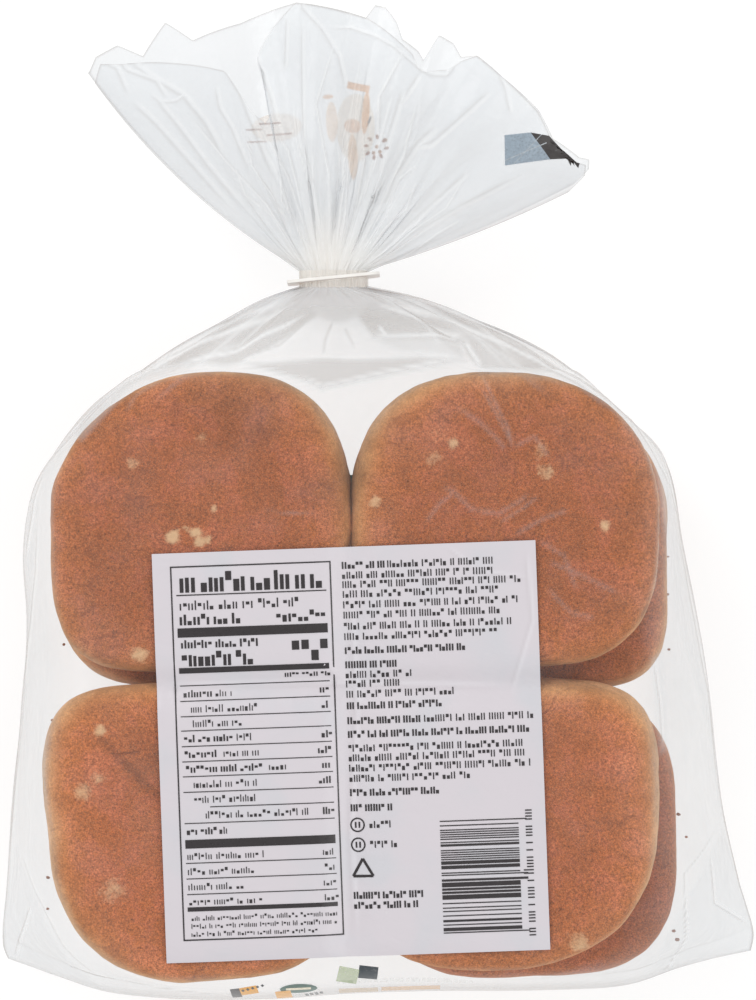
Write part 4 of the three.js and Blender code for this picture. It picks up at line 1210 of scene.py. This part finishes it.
# Colours from the front of the pack, which lies face down: they come round over the bottom end.
GREEN, GOLD, CREAM, WHITE = (32, 84, 70), (226, 160, 48), (232, 222, 196), (236, 236, 234)
LEAF = (150, 170, 112)
FRONT_LIFT, EYE_LIFT, RUFF_LIFT = 0.12, 0.2, 0.25  # off the film, as above


def tilted(x, y, turn_deg):
    """Places a patch with its top left corner at X and Y, turned by so many degrees."""
    cos, sin = math.cos(math.radians(turn_deg)), math.sin(math.radians(turn_deg))
    return lambda a, b: (x + a * cos + b * sin, y + a * sin - b * cos)


end_print = Print()
end_print.patch(tilted(-45.0, -148.6, 8), 3.0, 4.0, INK_BLACK, fine=1.0)
end_print.patch(tilted(-42.2, -148.2, 12), 5.4, 3.2, GOLD, fine=1.0, layer=1)
for tooth in range(5):
    end_print.patch(tilted(-41.6 + 1.5 * tooth, -149.2 + 0.5 * tooth, 45), 0.8, 0.8, INK_BLACK, fine=1.0,
                    layer=2)
end_print.patch(tilted(-30.4, -146.6, 2), 12.4, 4.6, WHITE, fine=0.8, disc=True)
end_print.patch(tilted(-29.9, -147.0, 2), 11.4, 3.8, GREEN, fine=0.8, disc=True, layer=1)
end_print.patch(tilted(-28.0, -148.4, 2), 7.6, 0.9, CREAM, fine=0.8, layer=2)
end_print.patch(tilted(-31.4, -149.8, 6), 4.8, 4.0, GOLD, fine=1.0, layer=3)
for mark in range(4):
    end_print.patch(tilted(-22.5 + 1.5 * mark, -151.4 + 0.3 * mark, 15), 1.0, 1.6 - 0.3 * (mark % 2),
                    INK_BLACK)
end_print.patch(tilted(-5.6, -140.4, -6), 5.8, 4.4, (58, 66, 72), fine=1.0)
end_print.patch(tilted(-11.6, -140.6, -12), 6.2, 5.4, LEAF, cover=0.6, fine=1.0, layer=1)
for mark in range(26):
    rise = 1.2 - 0.007 * (mark - 13) ** 2
    end_print.patch(tilted(-12.6 + 1.62 * mark, -146.0 + rise, 2 - 0.5 * (mark - 13)), 1.0 + 0.3 * (mark % 3),
                    1.5, WHITE, cover=0.75 if mark % 5 != 3 else 0.2)
end_print.patch(tilted(1.0, -148.6, 2), 18.0, 2.2, GOLD, cover=0.45, fine=1.2, layer=1)
end_print.patch(tilted(-12.0, -149.2, 2), 12.0, 2.6, (206, 170, 110), cover=0.45, fine=1.2)
end_print.lay("print_over_bottom_end", film_over_surface, (0, 0, 1), LABEL_LIFT)

# The front itself: plain bands and ovals of the same colours, seen only from below.
front_print = Print()
front_print.patch(lambda a, b: (-92 + a, 8 - b), 172, 14, GREEN)
front_print.patch(lambda a, b: (-92 + a, -8 - b), 172, 4, GOLD)
front_print.patch(lambda a, b: (-52 + a, -30 - b), 92, 56, CREAM, disc=True)
for i in range(5):
    front_print.patch(lambda a, b: (-28 + 9 * i + a, -40 - b - 1.5 * abs(2 - i)), 5, 32, GOLD, disc=True,
                      layer=1)
front_print.patch(lambda a, b: (-86 + a, -100 - b), 160, 5, LEAF)
front_print.patch(lambda a, b: (-86 + a, -108 - b), 160, 18, GREEN)
front_print.patch(lambda a, b: (-30 + a, -111 - b), 48, 12, WHITE, disc=True, layer=1)
front_print.lay("print_on_front", surface_of(film_under), (0, 0, -1), FRONT_LIFT)

# The ruff: a blue grey patch with a black end that folds over, and faint smears where print was gathered.
BLUE_GREY, EYE_BLACK = (146, 160, 172), (46, 41, 40)
eye_mark = Print()


def between(corners):
    """Spreads a patch, 1 by 1, between four corners: top left, top right, bottom left, bottom right."""
    corners = np.array(corners)
    return lambda a, b: tuple(mix(mix(corners[0], corners[1], a), mix(corners[2], corners[3], a), b))


for corners, colour, fine in (
    ([(39.0, 112.4), (47.0, 113.2), (39.2, 103.2), (53.2, 105.2)], BLUE_GREY, 0.1),
    ([(47.0, 113.2), (56.6, 111.6), (53.2, 105.2), (59.4, 105.6)], EYE_BLACK, 0.1),
    ([(56.6, 111.6), (60.6, 107.8), (58.0, 106.4), (59.6, 103.4)], EYE_BLACK, 0.2),
):
    eye_mark.patch(between(corners), 1, 1, colour, fine=fine)
for x0, y0, x1, y1 in ((39.2, 104.6, 52.0, 110.0), (42.0, 103.6, 50.5, 112.6)):
    eye_mark.patch(between([(x0, y0 + 0.3), (x1, y1 + 0.3), (x0, y0), (x1, y1)]), 1, 1, (196, 204, 210),
                   cover=0.7, fine=0.1, layer=1)
eye_mark.lay("mark_on_ruff", surface_of(ruffs[1]), (0, 0, 1), EYE_LIFT, near_z=NECK[2])

ruff_print = Print()
TAN, RUST = (224, 178, 138), (150, 98, 72)
for x, y, turn, width, length, colour, cover in (
    (-14.0, 127.5, -84, 1.4, 3.6, TAN, 0.6), (-9.4, 131.8, -10, 7.0, 2.2, TAN, 0.85),
    (-4.6, 129.0, -4, 2.4, 14.0, (220, 166, 110), 0.7), (-10.5, 120.0, -4, 5.4, 4.6, TAN, 0.55),
    (-9.6, 115.0, 2, 3.0, 15.0, (226, 186, 146), 0.6), (-16.5, 125.0, 2, 3.6, 13.0, (230, 200, 170), 0.5),
    (-13.0, 128.0, 0, 12.0, 22.0, (232, 214, 192), 0.4), (-40.0, 121.0, 3, 16.0, 9.0, (228, 212, 196), 0.35),
    (-37.5, 118.4, 3, 7.0, 0.6, RUST, 0.6), (-41.5, 116.4, 3, 5.0, 0.6, RUST, 0.5),
    (-35.0, 114.8, 3, 8.0, 0.6, RUST, 0.5), (-41.0, 112.4, 3, 6.0, 0.5, RUST, 0.5),
    (-2.4, 121.5, -20, 0.8, 5.0, (60, 50, 50), 0.6),
):
    ruff_print.patch(tilted(x, y, turn), width, length, colour, cover=cover, fine=1.0, disc=length > 3,
                     layer=0 if cover < 0.5 else 1)
RING, RING_DOTS = (-0.6, 110.6), 8  # a ring of small dots
for i in range(RING_DOTS):
    angle = 2 * math.pi * i / RING_DOTS
    spot = (RING[0] + 2.3 * math.cos(angle), RING[1] + 2.5 * math.sin(angle))
    ruff_print.patch(tilted(*spot, 20 + 40 * i), 1.7, 1.0, RUST, cover=0.9, fine=0.8, disc=True)
for dx, dy in ((-0.6, 0.4), (0.4, -1.2), (-1.6, -1.6), (2.2, 2.6)):
    ruff_print.patch(tilted(RING[0] + dx, RING[1] + dy, 30), 1.2, 1.2, (176, 130, 96), cover=0.9, fine=0.8,
                     disc=True)
ruff_print.lay("print_in_ruff", surface_of(ruffs[-1]), (0, 0, 1), RUFF_LIFT, near_z=NECK[2])

# ---------------------------------------------------------------- the crumbs
# Crumbs of crust that have come off the buns when the bag was filled. They lie loose beside the buns, on the
# lower sheet of film.

CRUMBS = [
    (-105, -130), (-100, -127), (-87, -142), (-100, -46), (-103.5, -70), (-101, -75), (-103, -87),
    (-105, -120), (92, -18), (92, -30), (92.5, -47.5), (86, -50.5), (95.5, -100), (98, -107), (94, -137),
    (95, -139.5),
]
crumb_bm = bmesh.new()
crumb_dice = random.Random(16)
under_surface = surface_of(film_under)
for x, y in CRUMBS:
    size = crumb_dice.uniform(0.3, 0.6)
    crumb = bmesh.ops.create_icosphere(crumb_bm, subdivisions=2, radius=size)["verts"]
    spot = under_surface.ray_cast(Vector(put([x, y, -50])), Vector((0, 0, 1)))[0]
    rest = (np.array(spot) / MM - ZERO)[2] + size * 0.8
    for vert in crumb:
        lump = 1 + 0.45 * noise.noise(vert.co * 1.6 + Vector((x, y, 0)))
        around_middle = Vector((vert.co.x * lump * 1.3, vert.co.y * lump, vert.co.z * lump * 0.7))
        vert.co = Vector((x, y, rest)) + around_middle
crumb_points = np.array([v.co for v in crumb_bm.verts])
middling = np.full(len(crumb_points), 0.68)
crumb_looks = {"bake": middling, "depth": 0 * middling, "flour": 0 * middling, "tone": 0 * middling + 0.8}
finish_mesh("crumbs", crumb_bm, crumb_points, crumb_looks, crust)

# ---------------------------------------------------------------- the floor, the light and the camera
# A plain pale floor under soft studio light, open from below so that the underside can be seen. The camera
# looks straight down on the pack.

CAMERA_HEIGHT = 1400.0
SENSOR_HEIGHT = 36.0
SHOWN_HEIGHT, SHOWN_AT = 310.0, 39.0  # the picture takes in this height of what lies at this level
LAMPS_AIM_AT = (0, 0, 0.03)  # in the frame's metres, as the lamps' places are

floor_bm = bmesh.new()
bmesh.ops.create_grid(floor_bm, x_segments=1, y_segments=1, size=3)
floor_mesh = bpy.data.meshes.new("floor")
floor_bm.to_mesh(floor_mesh)
floor_bm.free()
floor = bpy.data.objects.new("floor", floor_mesh)
bpy.context.collection.objects.link(floor)
floor_material, floor_tree, floor_shader = new_material("pale_floor")
floor_shader.inputs["Base Color"].default_value = (0.3, 0.3, 0.3, 1)
floor_shader.inputs["Roughness"].default_value = 0.9
floor_shader.inputs["Emission Color"].default_value = (1, 1, 1, 1)
floor_shader.inputs["Emission Strength"].default_value = 0.735  # a light table, to show the film
from_below = add(floor_tree, "ShaderNodeNewGeometry").outputs["Backfacing"]
floor_tree.links.new(calc(floor_tree, "SUBTRACT", 1.0, from_below), floor_shader.inputs["Alpha"])
floor_mesh.materials.append(floor_material)
floor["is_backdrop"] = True

scene = bpy.context.scene
world = bpy.data.worlds.new("studio")
world.use_nodes = True
world.node_tree.nodes["Background"].inputs["Color"].default_value = (1, 1, 1, 1)
world.node_tree.nodes["Background"].inputs["Strength"].default_value = 0.74
scene.world = world


def softbox(name, place, width, power):
    """A soft square lamp at a place in metres, turned towards the pack."""
    lamp = bpy.data.lights.new(name, "AREA")
    lamp.shape, lamp.size, lamp.energy = "SQUARE", width, power
    light = bpy.data.objects.new(name, lamp)
    light.location = place
    light.rotation_euler = (Vector(LAMPS_AIM_AT) - Vector(place)).to_track_quat("-Z", "Y").to_euler()
    bpy.context.collection.objects.link(light)


softbox("key", (-0.7, 0.75, 1.1), 0.8, 7)
softbox("fill", (0.8, -0.3, 1.2), 0.9, 4)

camera_data = bpy.data.cameras.new("camera")
camera_data.sensor_fit = "VERTICAL"
camera_data.sensor_height = SENSOR_HEIGHT
camera_data.lens = SENSOR_HEIGHT * (CAMERA_HEIGHT - SHOWN_AT) / SHOWN_HEIGHT
camera = bpy.data.objects.new("camera", camera_data)
camera.location = put([0, 0, CAMERA_HEIGHT])
bpy.context.collection.objects.link(camera)
scene.camera = camera
scene.view_settings.view_transform = "Standard"
scene.cycles.transparent_max_bounces = 32  # the ruff's pleats lie in many layers

boxes = {"cad": [list(corner) for corner in cad_box], "visual": [list(corner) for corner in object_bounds()]}
{k: [[float(v) for v in c] for c in b] for k, b in boxes.items()}
